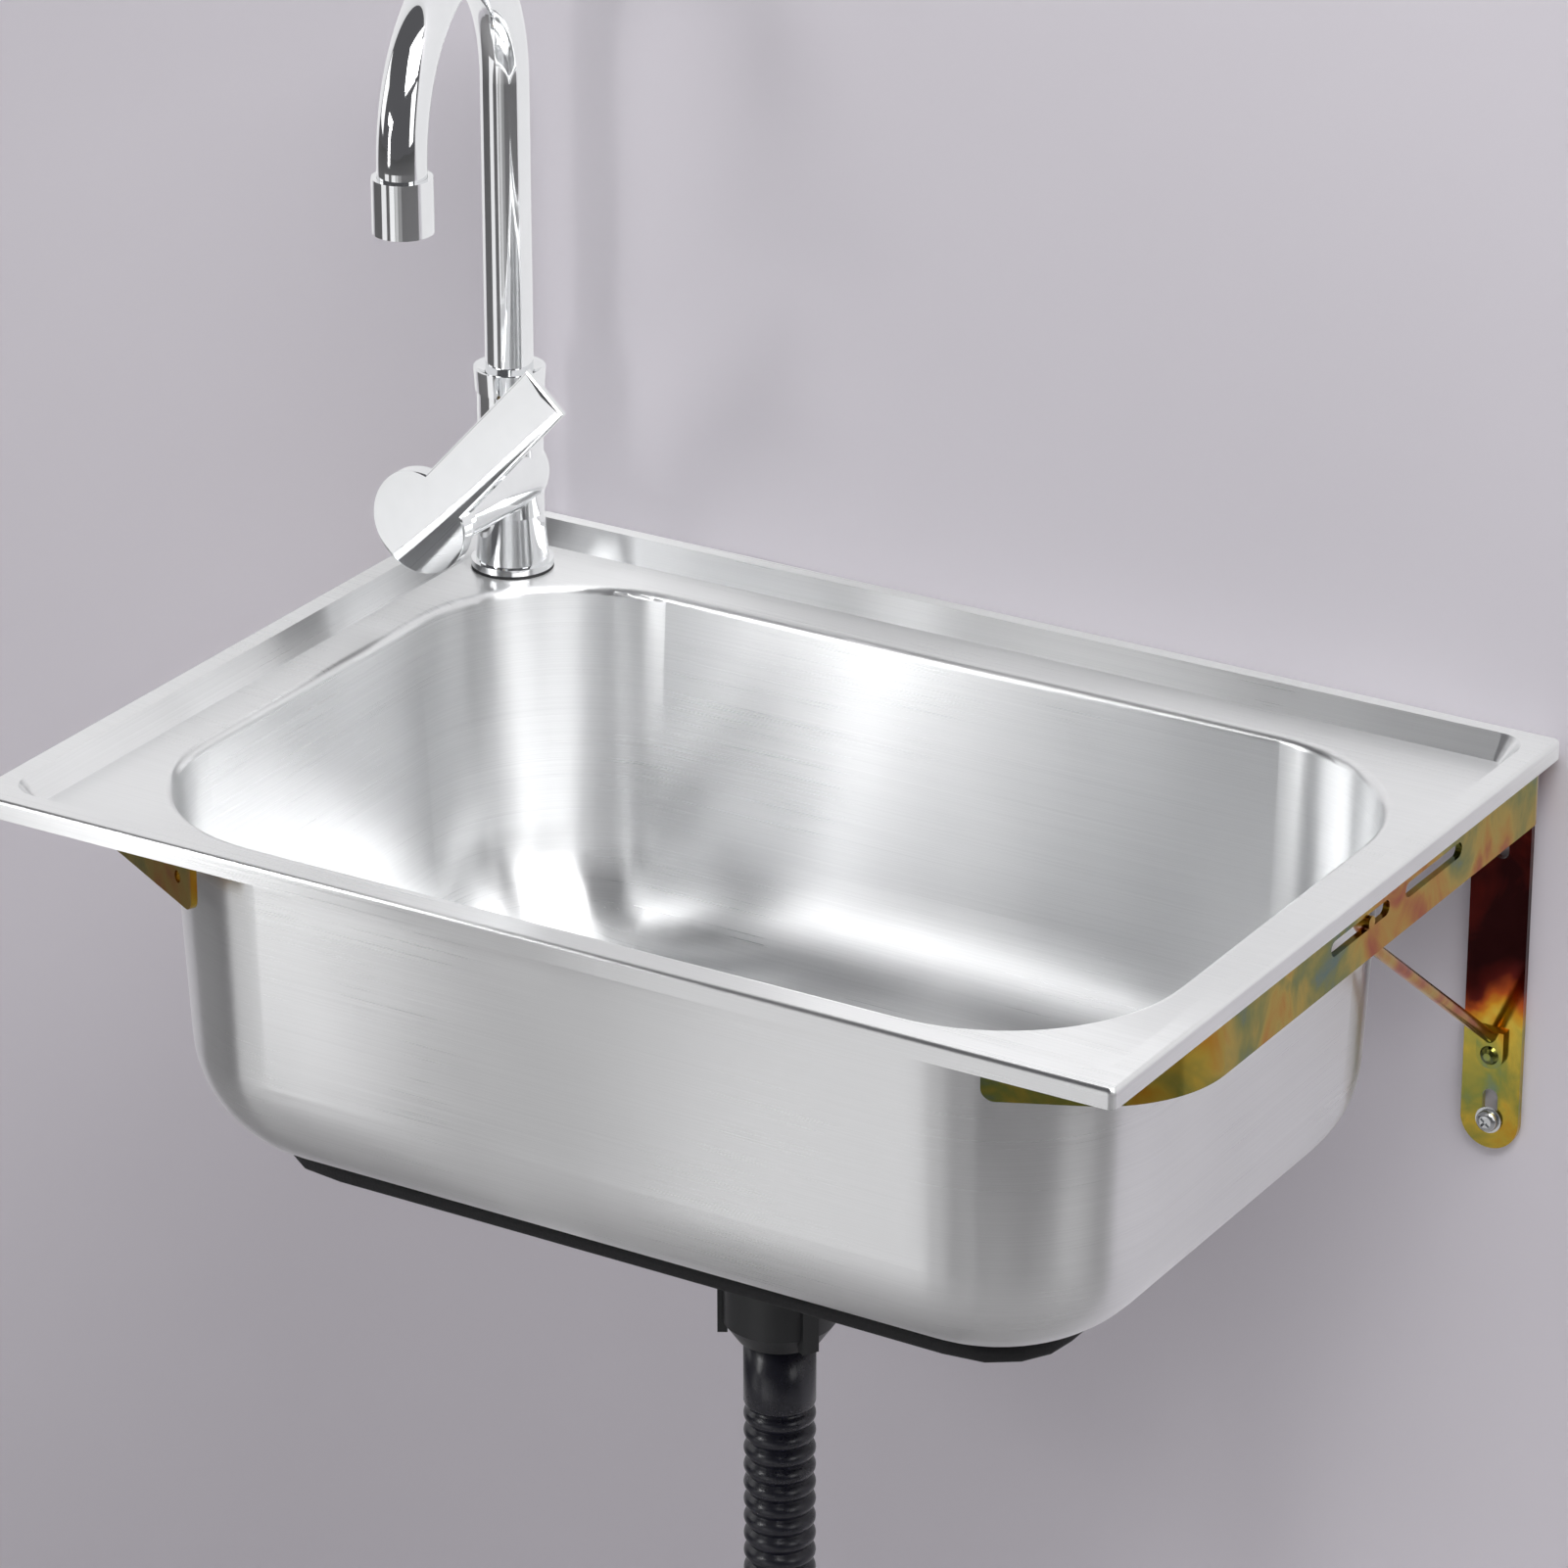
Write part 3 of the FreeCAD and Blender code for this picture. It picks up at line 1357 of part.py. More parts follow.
def make_brace():
    """Round rod: flat eye riveted to the plate, run up to the arm, end hooked out through a slot."""
    rod = d.brace_width.number / 2
    thick = d.brace_eye_thick.number
    half = d.brace_eye_width.number / 2
    wall_y = -d.plate_thick.number
    eye_z = rivet_z.number
    top_z = eye_z + d.brace_eye_rise.number
    x = plate_x.number
    inner_x = arm_x.number - d.arm_thick.number / 2 - rod - d.seat_gap.number
    hook_y = -d.brace_hook_y.number
    hook_x = arm_x.number + d.arm_thick.number / 2 + d.brace_hook_out.number
    below_arm = arm_low.number - rod
    room = d.brace_bend.number
    points = [
        FreeCAD.Vector(x, wall_y - thick / 2 - rod / 2, top_z),
        FreeCAD.Vector(inner_x, hook_y + room * 2, below_arm),
        FreeCAD.Vector(inner_x, hook_y, slot_z.number),
        FreeCAD.Vector(hook_x, hook_y, slot_z.number),
    ]
    path = rounded_path(points, rod + d.arm_thick.number / 2)
    heading = (points[1] - points[0]).normalize()
    section = Part.Wire(Part.makeCircle(rod, points[0], heading))
    bar = path.makePipeShell([section], True, False)
    centre = FreeCAD.Vector(x, wall_y, eye_z)
    to_room = FreeCAD.Vector(0, -1, 0)
    eye = Part.makeCylinder(half, thick, centre, to_room)
    corner = FreeCAD.Vector(x - half, wall_y - thick, eye_z)
    tongue = Part.makeBox(half * 2, thick, top_z - eye_z + rod, corner)
    bore = d.rivet_width.number / 2 + d.slip.number
    hole = Part.makeCylinder(bore, thick, centre, to_room)
    brace = keep(doc.addObject("Part::Feature", "brace_right"))
    brace.Shape = bar.fuse([eye, tongue]).removeSplitter().cut(hole)
    mirrored("brace_left", brace)


def make_rivets():
    """Domed rivets through the brace eyes and the arm tabs, flush with the wall side."""
    radius = d.rivet_width / 2
    head = d.rivet_head / 2
    high = d.rivet_head_high

    def rivet(label, x, z, grip):
        corners = [
            (ZERO, ZERO),
            (radius, ZERO),
            (radius, grip),
            (head, grip),
            (d.rivet_shoulder / 2, grip + d.rivet_shoulder_high),
            (d.rivet_crown / 2, grip + high),
            (ZERO, grip + high),
        ]
        return turned(label, corners, x, ZERO, z, TO_ROOM)

    sides = ((plate_x, tab_rivet_x), (-plate_x, -tab_rivet_x))
    eye_grip = d.plate_thick + d.brace_eye_thick
    tab_grip = d.plate_thick + d.arm_thick
    eyes = [(side[0], rivet_z, eye_grip) for side in sides]
    tabs = [(side[1], z, tab_grip) for side in sides for z in tab_rivets]
    group("brace_rivets", [rivet(f"brace_rivet_{i}", *spot) for i, spot in enumerate(eyes)])
    group("arm_rivets", [rivet(f"arm_rivet_{i}", *spot) for i, spot in enumerate(tabs)])


def make_wall_fixings():
    """Four pan-head screws, their threads in the wall and plain necks under their heads, with washers."""
    shank = d.screw_width / 2
    neck = d.screw_neck / 2
    head = d.screw_head / 2
    seat = d.plate_thick + d.washer_thick
    top = seat + d.screw_head_high
    tip = -d.screw_reach
    half_screw = [
        (ZERO, tip),
        (shank, tip + shank),
        (shank, d.screw_thread_rise),
        (neck, d.screw_thread_rise),
        (neck, seat),
        (head, seat),
        (head, seat + d.screw_head_edge),
        (d.screw_crown / 2, top),
        (ZERO, top),
    ]
    screws = []
    washers = []
    bore = d.screw_width + d.slip * 2
    for number, (x, z) in enumerate([(x, z) for x in (plate_x, -plate_x) for z in (screw_z, -screw_z)]):
        screws.append(turned(f"wall_screw_{number}", half_screw, x, ZERO, z, TO_ROOM))
        seat_low = d.plate_thick
        washers.append(ring(f"washer_{number}", bore, d.washer_width, seat_low, seat, x, ZERO, z, TO_ROOM))
    group("wall_screws", screws)
    group("wall_washers", washers)


def check_features():
    """Stops the build if a feature failed or a cut or addition changed nothing."""
    for thing in doc.Objects:
        if {"Invalid", "Error"} & set(thing.State):
            raise RuntimeError(f"{thing.Label} failed: {thing.State}")
    for body in doc.Objects:
        if body.TypeId != "PartDesign::Body":
            continue
        before = 0
        for feature in body.Group:
            if feature.isDerivedFrom("Sketcher::SketchObject"):
                continue
            volume = feature.Shape.Volume
            if abs(volume - before) < 0.01:
                raise RuntimeError(f"{feature.Label} of {body.Label} changes nothing")
            before = volume


def write_pieces():
    """Tests every piece and writes its file."""
    for thing in nodes:
        shape = thing.Shape
        if shape.isNull() or not shape.isValid() or not shape.Solids:
            raise RuntimeError(f"{thing.Label} has no valid solid")
    os.makedirs("parts", exist_ok=True)
    for thing in nodes:
        thing.Shape.exportStep(f"parts/{thing.Label}.step")
    print(f"{len(nodes)} pieces written")


make_sink_bowl()
make_sound_pad()
make_strainer()
make_waste_body()
make_basket()
make_hose_nut()
make_drain_hose()
make_floor_plug()
make_tap_body()
make_tap_fixing()
make_spout_bearing()
make_spout()
make_aerator()
make_valve()
make_lever()
make_wall_plate()
keep(make_arm("arm_right", opening.right, d.arm_bend_angle, d.arm_bowl_gap, d.arm_tip_run))
left_form = make_arm("left_form", -opening.left, d.left_arm_bend_angle, d.left_arm_bowl_gap, d.left_arm_tip_run)
mirrored("arm_left", left_form)
make_brace()
make_rivets()
make_wall_fixings()
doc.recompute()
check_features()
write_pieces()
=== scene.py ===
"""Wall-mounted hand sink: finishes, soft pieces, wall screws and stage around the solids."""

import enum
import logging
import math
from dataclasses import dataclass
from typing import Any, Callable

import bpy
import bmesh
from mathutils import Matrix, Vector


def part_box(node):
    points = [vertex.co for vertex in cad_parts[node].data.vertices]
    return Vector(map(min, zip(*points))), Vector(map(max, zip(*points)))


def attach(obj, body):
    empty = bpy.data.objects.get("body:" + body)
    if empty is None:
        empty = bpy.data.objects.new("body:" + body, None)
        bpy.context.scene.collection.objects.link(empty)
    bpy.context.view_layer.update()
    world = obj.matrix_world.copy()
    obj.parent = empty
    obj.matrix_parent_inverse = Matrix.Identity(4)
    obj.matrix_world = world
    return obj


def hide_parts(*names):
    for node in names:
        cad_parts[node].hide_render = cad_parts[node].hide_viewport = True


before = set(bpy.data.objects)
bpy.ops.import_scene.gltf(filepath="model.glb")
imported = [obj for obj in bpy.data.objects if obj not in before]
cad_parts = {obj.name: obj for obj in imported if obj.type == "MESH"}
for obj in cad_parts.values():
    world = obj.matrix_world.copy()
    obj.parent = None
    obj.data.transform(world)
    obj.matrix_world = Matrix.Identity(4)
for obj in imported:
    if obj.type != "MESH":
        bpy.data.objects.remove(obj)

LOG = logging.getLogger("hand_sink")
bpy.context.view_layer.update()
SMOOTH_ANGLE = 35.0
MERGE_DISTANCE = 0.00001
DRAIN_X = 0.0035
DRAIN_Y = -0.201

Colour = tuple[float, float, float]
Point = tuple[float, float, float]
Stops = tuple[tuple[float, Colour], ...]


class Body(enum.Enum):
    """The bodies that pieces move with."""

    SINK = "sink"
    SPOUT = "spout"
    LEVER = "lever"
    BASKET = "basket"


class Value:
    """A shader socket that takes part in Python sums."""

    def __init__(self, shader: "Shader", socket: bpy.types.NodeSocket) -> None:
        """Keeps the socket and the shader that it belongs to."""
        self.shader = shader
        self.socket = socket

    def _math(self, operation: str, *terms: Any) -> "Value":
        """Adds a Math node.

        Args:
            operation: the node's operation.
            terms: its inputs in order, numbers or values.

        Returns:
            The node's result.
        """
        sockets = dict(enumerate(terms))
        node = self.shader.node("ShaderNodeMath", {"operation": operation}, sockets)
        return Value(self.shader, node.outputs[0])

    def __add__(self, other: Any) -> "Value":
        """Sum."""
        return self._math("ADD", self, other)

    __radd__ = __add__

    def __sub__(self, other: Any) -> "Value":
        """Difference."""
        return self._math("SUBTRACT", self, other)

    def __rsub__(self, other: Any) -> "Value":
        """Difference from a number."""
        return self._math("SUBTRACT", other, self)

    def __mul__(self, other: Any) -> "Value":
        """Product."""
        return self._math("MULTIPLY", self, other)

    __rmul__ = __mul__

    def __abs__(self) -> "Value":
        """Size without sign."""
        return self._math("ABSOLUTE", self)

    def step(self, low: float, high: float) -> "Value":
        """A smooth step.

        Args:
            low: where it leaves 0.
            high: where it reaches 1.

        Returns:
            The step's height.
        """
        settings = {"interpolation_type": "SMOOTHSTEP"}
        node = self.shader.node("ShaderNodeMapRange", settings, {0: self, 1: low, 2: high})
        return Value(self.shader, node.outputs[0])

    def between(self, low: float, high: float) -> "Value":
        """Spreads 0..1 over low..high."""
        return self * (high - low) + low


class Shader:
    """One material, or the room's light, and its nodes."""

    def __init__(self, name: str, room: bool = False) -> None:
        """Starts an empty material, or an empty room.

        Args:
            name: the material's name.
            room: whether it is the light of the room.
        """
        self.material = bpy.data.worlds.new(name) if room else bpy.data.materials.new(name)
        self.material.use_nodes = True
        self.tree = self.material.node_tree
        self.tree.nodes.clear()
        place = self.node("ShaderNodeTexCoord")
        self.place = place.outputs["Object"]
        self.facing = place.outputs["Normal"]

    def node(
        self, kind: str, settings: dict[str, Any] | None = None, sockets: dict | None = None
    ) -> bpy.types.Node:
        """Adds a node.

        Args:
            kind: the node's type.
            settings: properties, set first; "stops" fills a colour ramp.
            sockets: values or links of its inputs, by name or number.

        Returns:
            The new node.
        """
        node = self.tree.nodes.new(kind)
        for name, value in (settings or {}).items():
            if name == "stops":
                self._fill_ramp(node.color_ramp, value)
            else:
                setattr(node, name, value)
        for name, value in (sockets or {}).items():
            target = node.inputs[name]
            if isinstance(value, Value):
                self.tree.links.new(value.socket, target)
            elif isinstance(value, bpy.types.NodeSocket):
                self.tree.links.new(value, target)
            else:
                target.default_value = value
        return node

    def _fill_ramp(self, ramp: bpy.types.ColorRamp, stops: Stops) -> None:
        """Sets a ramp's stops.

        Args:
            ramp: the ramp to fill.
            stops: a place and a colour for each stop.
        """
        while len(ramp.elements) < len(stops):
            ramp.elements.new(0.5)
        for element, (place, colour) in zip(ramp.elements, stops):
            element.position = place
            element.color = (*colour, 1.0)

    def axis(self, source: bpy.types.NodeSocket, index: int) -> Value:
        """One coordinate of a vector."""
        node = self.node("ShaderNodeSeparateXYZ", None, {0: source})
        return Value(self, node.outputs[index])

    def noise(
        self, stretch: Point, detail: float = 3.0, rough: float = 0.55, bend: float = 0.0
    ) -> Value:
        """Noise over the piece.

        Args:
            stretch: cells per metre along X, Y and Z.
            detail: octaves.
            rough: strength of the finer octaves.
            bend: distortion.

        Returns:
            Noise about 0.5.
        """
        scaled = self.node("ShaderNodeMapping", None, {"Vector": self.place, "Scale": stretch})
        sockets = {
            "Vector": scaled.outputs[0],
            "Scale": 1.0,
            "Detail": detail,
            "Roughness": rough,
            "Distortion": bend,
        }
        node = self.node("ShaderNodeTexNoise", None, sockets)
        return Value(self, node.outputs[0])

    def ramp(self, value: Value, stops: Stops) -> bpy.types.NodeSocket:
        """A colour picked from stops by a value."""
        return self.node("ShaderNodeValToRGB", {"stops": stops}, {0: value}).outputs[0]

    def mix(self, factor: Any, low: Any, high: Any) -> bpy.types.NodeSocket:
        """A blend of two colours.

        Args:
            factor: 0 for the first colour, 1 for the second.
            low: the first colour.
            high: the second colour.

        Returns:
            The blended colour.
        """
        colours = [(*c, 1.0) if isinstance(c, tuple) else c for c in (low, high)]
        sockets = {0: factor, 6: colours[0], 7: colours[1]}
        return self.node("ShaderNodeMix", {"data_type": "RGBA"}, sockets).outputs[2]

    def bump(self, height: Value, depth: float, strength: float = 1.0) -> bpy.types.NodeSocket:
        """A bumped normal from a height in 0..1 and a depth in metres."""
        sockets = {"Height": height, "Distance": depth, "Strength": strength}
        return self.node("ShaderNodeBump", None, sockets).outputs[0]

    def surface(self, sockets: dict[str, Any]) -> bpy.types.Material:
        """Ends the material in one surface shader.

        Args:
            sockets: the surface shader's inputs.

        Returns:
            The finished material.
        """
        for name, value in list(sockets.items()):
            if isinstance(value, tuple) and len(value) == 3:
                sockets[name] = (*value, 1.0)
        shader = self.node("ShaderNodeBsdfPrincipled", None, sockets)
        self.node("ShaderNodeOutputMaterial", None, {0: shader.outputs[0]})
        return self.material


@dataclass(frozen=True)
class SatinSteel:
    """Pressed stainless sheet, its brushed grain running round the bowl and along the deck."""

    name: str = "satin_steel"
    dark: Colour = (0.77, 0.775, 0.78)
    light: Colour = (0.87, 0.875, 0.88)
    roughness: float = 0.30
    grain: float = 0.06
    cloud: float = 0.05
    stretch: float = 0.97
    turn: float = 0.25
    scratch: float = 0.00001
    round_cells: Point = (6, 6, 3200)
    long_cells: Point = (6, 3000, 6)
    cloud_cells: Point = (9, 9, 7)

    def build(self) -> bpy.types.Material:
        """Builds the material.

        Returns:
            The finished material.
        """
        shader = Shader(self.name)
        flat = abs(shader.axis(shader.facing, 2)).step(0.55, 0.9)
        round_grain = shader.noise(self.round_cells, 2.0)
        long_grain = shader.noise(self.long_cells, 2.0)
        grain = round_grain * (1 - flat) + long_grain * flat
        cloud = shader.noise(self.cloud_cells, 2.0)
        tone = (grain * 0.45 + cloud * 0.55).step(0.3, 0.7)
        drift = cloud.between(-self.cloud, self.cloud)
        rough = grain.between(-self.grain, self.grain) + drift + self.roughness
        return shader.surface(
            {
                "Base Color": shader.mix(tone, self.dark, self.light),
                "Metallic": 1.0,
                "Roughness": rough,
                "Anisotropic": self.stretch,
                "Anisotropic Rotation": self.turn,
                "Normal": shader.bump(grain, self.scratch, 0.3),
            }
        )


@dataclass(frozen=True)
class PlatedMetal:
    """Bright plated or polished metal with faint handling marks."""

    name: str
    dark: Colour
    light: Colour
    roughness: float
    smear: float = 0.04
    cloud_cells: Point = (60, 60, 45)
    speck_cells: Point = (900, 900, 900)

    def build(self) -> bpy.types.Material:
        """Builds the material.

        Returns:
            The finished material.
        """
        shader = Shader(self.name)
        cloud = shader.noise(self.cloud_cells, 3.0)
        speck = shader.noise(self.speck_cells, 2.0).step(0.62, 0.8)
        marks = cloud.step(0.35, 0.75) * self.smear + speck * (self.smear * 0.8)
        return shader.surface(
            {
                "Base Color": shader.mix(cloud, self.dark, self.light),
                "Metallic": 1.0,
                "Roughness": marks + self.roughness,
            }
        )


@dataclass(frozen=True)
class YellowZinc:
    """Yellow-passivated zinc: glossy gold with drifting red, olive and blue-grey films.

    The upper half of the plates against the wall is darker: painted shade under the sink.
    """

    name: str = "yellow_zinc"
    roughness: float = 0.16
    pitting: float = 0.00003
    drift_cells: Point = (11, 13, 11)
    patch_cells: Point = (34, 34, 28)
    fine_cells: Point = (420, 420, 420)
    shade_wall_depth: tuple[float, float] = (-0.012, -0.003)
    shade_rise: tuple[float, float] = (-0.035, 0.015)
    films: Stops = (
        (0.0, (0.13, 0.10, 0.16)),
        (0.10, (0.10, 0.17, 0.16)),
        (0.22, (0.20, 0.21, 0.05)),
        (0.38, (0.44, 0.31, 0.045)),
        (0.50, (0.46, 0.22, 0.02)),
        (0.62, (0.36, 0.07, 0.015)),
        (0.76, (0.10, 0.013, 0.010)),
        (1.0, (0.035, 0.008, 0.008)),
    )

    def build(self) -> bpy.types.Material:
        """Builds the material.

        Returns:
            The finished material.
        """
        shader = Shader(self.name)
        drift = shader.noise(self.drift_cells, 3.0, 0.5, 0.5)
        patch = shader.noise(self.patch_cells, 3.0, 0.6, 0.9)
        # painted shade: the plates' upper half next to the wall is pushed towards the dark end of
        # the films
        depth = shader.axis(shader.place, 1).step(*self.shade_wall_depth)
        height = shader.axis(shader.place, 2).step(*self.shade_rise)
        film_and_shade = (drift * 0.68 + patch * 0.32).step(0.28, 0.72) * 0.72 + depth * height * 0.5
        fine = shader.noise(self.fine_cells, 3.0)
        worn = patch.between(-0.08, 0.12) + fine.between(-0.05, 0.05)
        return shader.surface(
            {
                "Base Color": shader.ramp(film_and_shade, self.films),
                "Metallic": 1.0,
                "Roughness": worn + self.roughness,
                "Normal": shader.bump(fine, self.pitting, 0.35),
            }
        )


@dataclass(frozen=True)
class Moulded:
    """Moulded plastic, rubber or foam with a fine grain."""

    name: str
    dark: Colour
    light: Colour
    roughness: float
    grain: float
    cell: float
    coat: float = 0.0
    cloud_cells: Point = (40, 40, 40)

    def build(self) -> bpy.types.Material:
        """Builds the material.

        Returns:
            The finished material.
        """
        shader = Shader(self.name)
        cell = shader.noise((self.cell, self.cell, self.cell), 3.0)
        cloud = shader.noise(self.cloud_cells, 2.0)
        worn = cell.between(-0.1, 0.1) + cloud.between(-0.06, 0.06)
        return shader.surface(
            {
                "Base Color": shader.mix(cloud * 0.6 + cell * 0.4, self.dark, self.light),
                "Roughness": worn + self.roughness,
                "Coat Weight": self.coat,
                "Normal": shader.bump(cell, self.grain, 0.6),
            }
        )


@dataclass(frozen=True)
class Backdrop:
    """Plain pale plaster of the stage, seen from its front only.

    Attributes:
        even: the share of its flat colour, times pale, that the camera sees.
        mirrored: the brightness that metal mirrors, where 1 is white.
        share: how much of that brightness is mirrored below and above the rise.
        rise: the heights between which the share changes.
        lift: how much paler its palest patches are.
    """

    name: str
    colour: Colour
    even: float
    mirrored: float
    share: tuple[float, float]
    rise: tuple[float, float] = (0.07, 0.14)
    pale: float = 0.8
    lift: float = 1.06
    roughness: float = 0.9
    cloud_cells: Point = (3, 3, 3)

    def build(self) -> bpy.types.Material:
        """Builds the material.

        Returns:
            The finished material.
        """
        shader = Shader(self.name)
        cloud = shader.noise(self.cloud_cells, 3.0)
        lifted = tuple(min(1.0, part * self.lift) for part in self.colour)
        colour = shader.mix(cloud, self.colour, lifted)
        sockets = {"Base Color": colour, "Roughness": self.roughness}
        plaster = shader.node("ShaderNodeBsdfPrincipled", None, sockets).outputs[0]
        glow = shader.node("ShaderNodeEmission", None, {"Strength": self.mirrored}).outputs[0]
        sockets = {"Color": (*self.colour, 1.0), "Strength": self.pale}
        flat = shader.node("ShaderNodeEmission", None, sockets).outputs[0]
        clear = shader.node("ShaderNodeBsdfTransparent").outputs[0]
        path = shader.node("ShaderNodeLightPath")
        share = shader.axis(shader.place, 1).step(*self.rise).between(*self.share)
        glossy = Value(shader, path.outputs["Is Glossy Ray"]) * share
        camera = Value(shader, path.outputs["Is Camera Ray"]) * self.even
        turned = shader.node("ShaderNodeNewGeometry").outputs["Backfacing"]
        seen = plaster
        for factor, other in ((glossy, glow), (camera, flat), (turned, clear)):
            sockets = {0: factor, 1: seen, 2: other}
            seen = shader.node("ShaderNodeMixShader", None, sockets).outputs[0]
        shader.node("ShaderNodeOutputMaterial", None, {0: seen})
        return shader.material


Finish = SatinSteel | PlatedMetal | YellowZinc | Moulded

SATIN_STEEL = SatinSteel()
POLISHED_STEEL = PlatedMetal(
    "polished_steel", (0.60, 0.61, 0.62), (0.68, 0.69, 0.70), 0.16, 0.08
)
TAP_CHROME = PlatedMetal("tap_chrome", (0.80, 0.81, 0.82), (0.87, 0.88, 0.89), 0.035, 0.03)
YELLOW_ZINC = YellowZinc()
CLEAR_ZINC = PlatedMetal("clear_zinc", (0.52, 0.53, 0.54), (0.66, 0.67, 0.68), 0.2, 0.1)
VALVE_BRASS = PlatedMetal("valve_brass", (0.58, 0.40, 0.14), (0.68, 0.49, 0.20), 0.24, 0.1)
BLACK_RUBBER = Moulded(
    "black_rubber", (0.012, 0.012, 0.013), (0.024, 0.024, 0.026), 0.62, 0.00012, 1400
)
PAD_FOAM = Moulded("pad_foam", (0.006, 0.006, 0.007), (0.016, 0.016, 0.018), 0.8, 0.0006, 700)
BLACK_PLASTIC = Moulded(
    "black_plastic", (0.008, 0.009, 0.010), (0.016, 0.017, 0.019), 0.42, 0.00008, 1100
)
HOSE_PLASTIC = Moulded(
    "hose_plastic", (0.006, 0.006, 0.012), (0.012, 0.012, 0.022), 0.3, 0.00005, 900, 0.1
)
WHITE_PLASTIC = Moulded(
    "white_plastic", (0.72, 0.71, 0.67), (0.80, 0.79, 0.75), 0.4, 0.00005, 900
)
WHITE_CERAMIC = Moulded(
    "white_ceramic", (0.80, 0.79, 0.76), (0.86, 0.85, 0.83), 0.18, 0.00002, 1500, 0.3
)
PALE_FLOOR = Backdrop("pale_floor", (0.80, 0.79, 0.79), 0.4, 0.1, (0.55, 0.55))
PALE_WALL = Backdrop("pale_wall", (0.665, 0.635, 0.685), 0.0, 1.0, (0.2, 0.78))

NODE_FINISHES: dict[Finish, tuple[str, ...]] = {
    SATIN_STEEL: ("sink_bowl",),
    POLISHED_STEEL: ("strainer_cup", "cup_screw", "basket_strainer", "basket_knob", "spout_clip"),
    TAP_CHROME: ("tap_body", "spout_collar", "spout_tube", "aerator_shell", "lever_handle"),
    YELLOW_ZINC: (
        "wall_plate_left",
        "wall_plate_right",
        "arm_left",
        "arm_right",
        "brace_left",
        "brace_right",
        "arm_rivets",
        "brace_rivets",
    ),
    CLEAR_ZINC: ("wall_washers", "tap_steel_washer", "lever_grub_screw"),
    VALVE_BRASS: ("valve_cartridge", "valve_spindle", "cartridge_nut", "tap_lock_nut"),
    BLACK_RUBBER: (
        "top_gasket",
        "lower_gasket",
        "hose_seal",
        "basket_stopper",
        "tap_base_seal",
        "tap_rubber_washer",
        "spout_seals",
        "cartridge_seal",
        "aerator_washer",
        "hose_end_plug",
    ),
    BLACK_PLASTIC: ("waste_body", "hose_nut"),
    WHITE_PLASTIC: ("spout_bush", "aerator_insert"),
    WHITE_CERAMIC: ("ceramic_disc_fixed", "ceramic_disc_turning"),
}


def deselect() -> None:
    """Goes to object mode and selects nothing."""
    if bpy.context.object and bpy.context.object.mode != "OBJECT":
        bpy.ops.object.mode_set(mode="OBJECT")
    bpy.ops.object.select_all(action="DESELECT")


def start_piece(name: str) -> bpy.types.Object:
    """Names the primitive that was just added and goes into edit mode.

    Args:
        name: the piece's name.

    Returns:
        The piece, in edit mode.
    """
    piece = bpy.context.object
    piece.name = name
    piece.data.name = name
    bpy.ops.object.mode_set(mode="EDIT")
    return piece


def place_in_mesh() -> None:
    """Puts the place, turn and scale of the selected pieces into their meshes."""
    bpy.ops.object.transform_apply(location=True, rotation=True, scale=True)


def smooth(angle: float = SMOOTH_ANGLE) -> None:
    """Smooths the selected piece across edges that turn by less than an angle in degrees."""
    bpy.ops.object.shade_smooth_by_angle(angle=math.radians(angle))


def finish_piece(angle: float = SMOOTH_ANGLE) -> None:
    """Merges the piece in edit mode, turns its faces outwards, leaves edit mode and smooths it.

    Args:
        angle: edges that turn by less than this many degrees are smooth.
    """
    bpy.ops.mesh.select_all(action="SELECT")
    bpy.ops.mesh.remove_doubles(threshold=MERGE_DISTANCE)
    bpy.ops.mesh.normals_make_consistent(inside=False)
    bpy.ops.object.mode_set(mode="OBJECT")
    place_in_mesh()
    smooth(angle)


def apply_modifier(piece: bpy.types.Object, kind: str, settings: dict[str, Any]) -> None:
    """Adds a modifier to the active piece and applies it.

    Args:
        piece: the active piece, in object mode.
        kind: the modifier's type.
        settings: its properties.
    """
    modifier = piece.modifiers.new(kind.lower(), kind)
    for name, value in settings.items():
        setattr(modifier, name, value)
    bpy.ops.object.modifier_apply(modifier=modifier.name)


def dress(piece: bpy.types.Object, finish: Finish, body: Body) -> None:
    """Gives a piece its finish and the body that it moves with.

    Args:
        piece: the finished piece.
        finish: its finish.
        body: the body that it rides on.
    """
    piece.data.materials.clear()
    piece.data.materials.append(finish.build())
    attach(piece, body.value)
    LOG.info("piece %s rides on %s", piece.name, body.value)


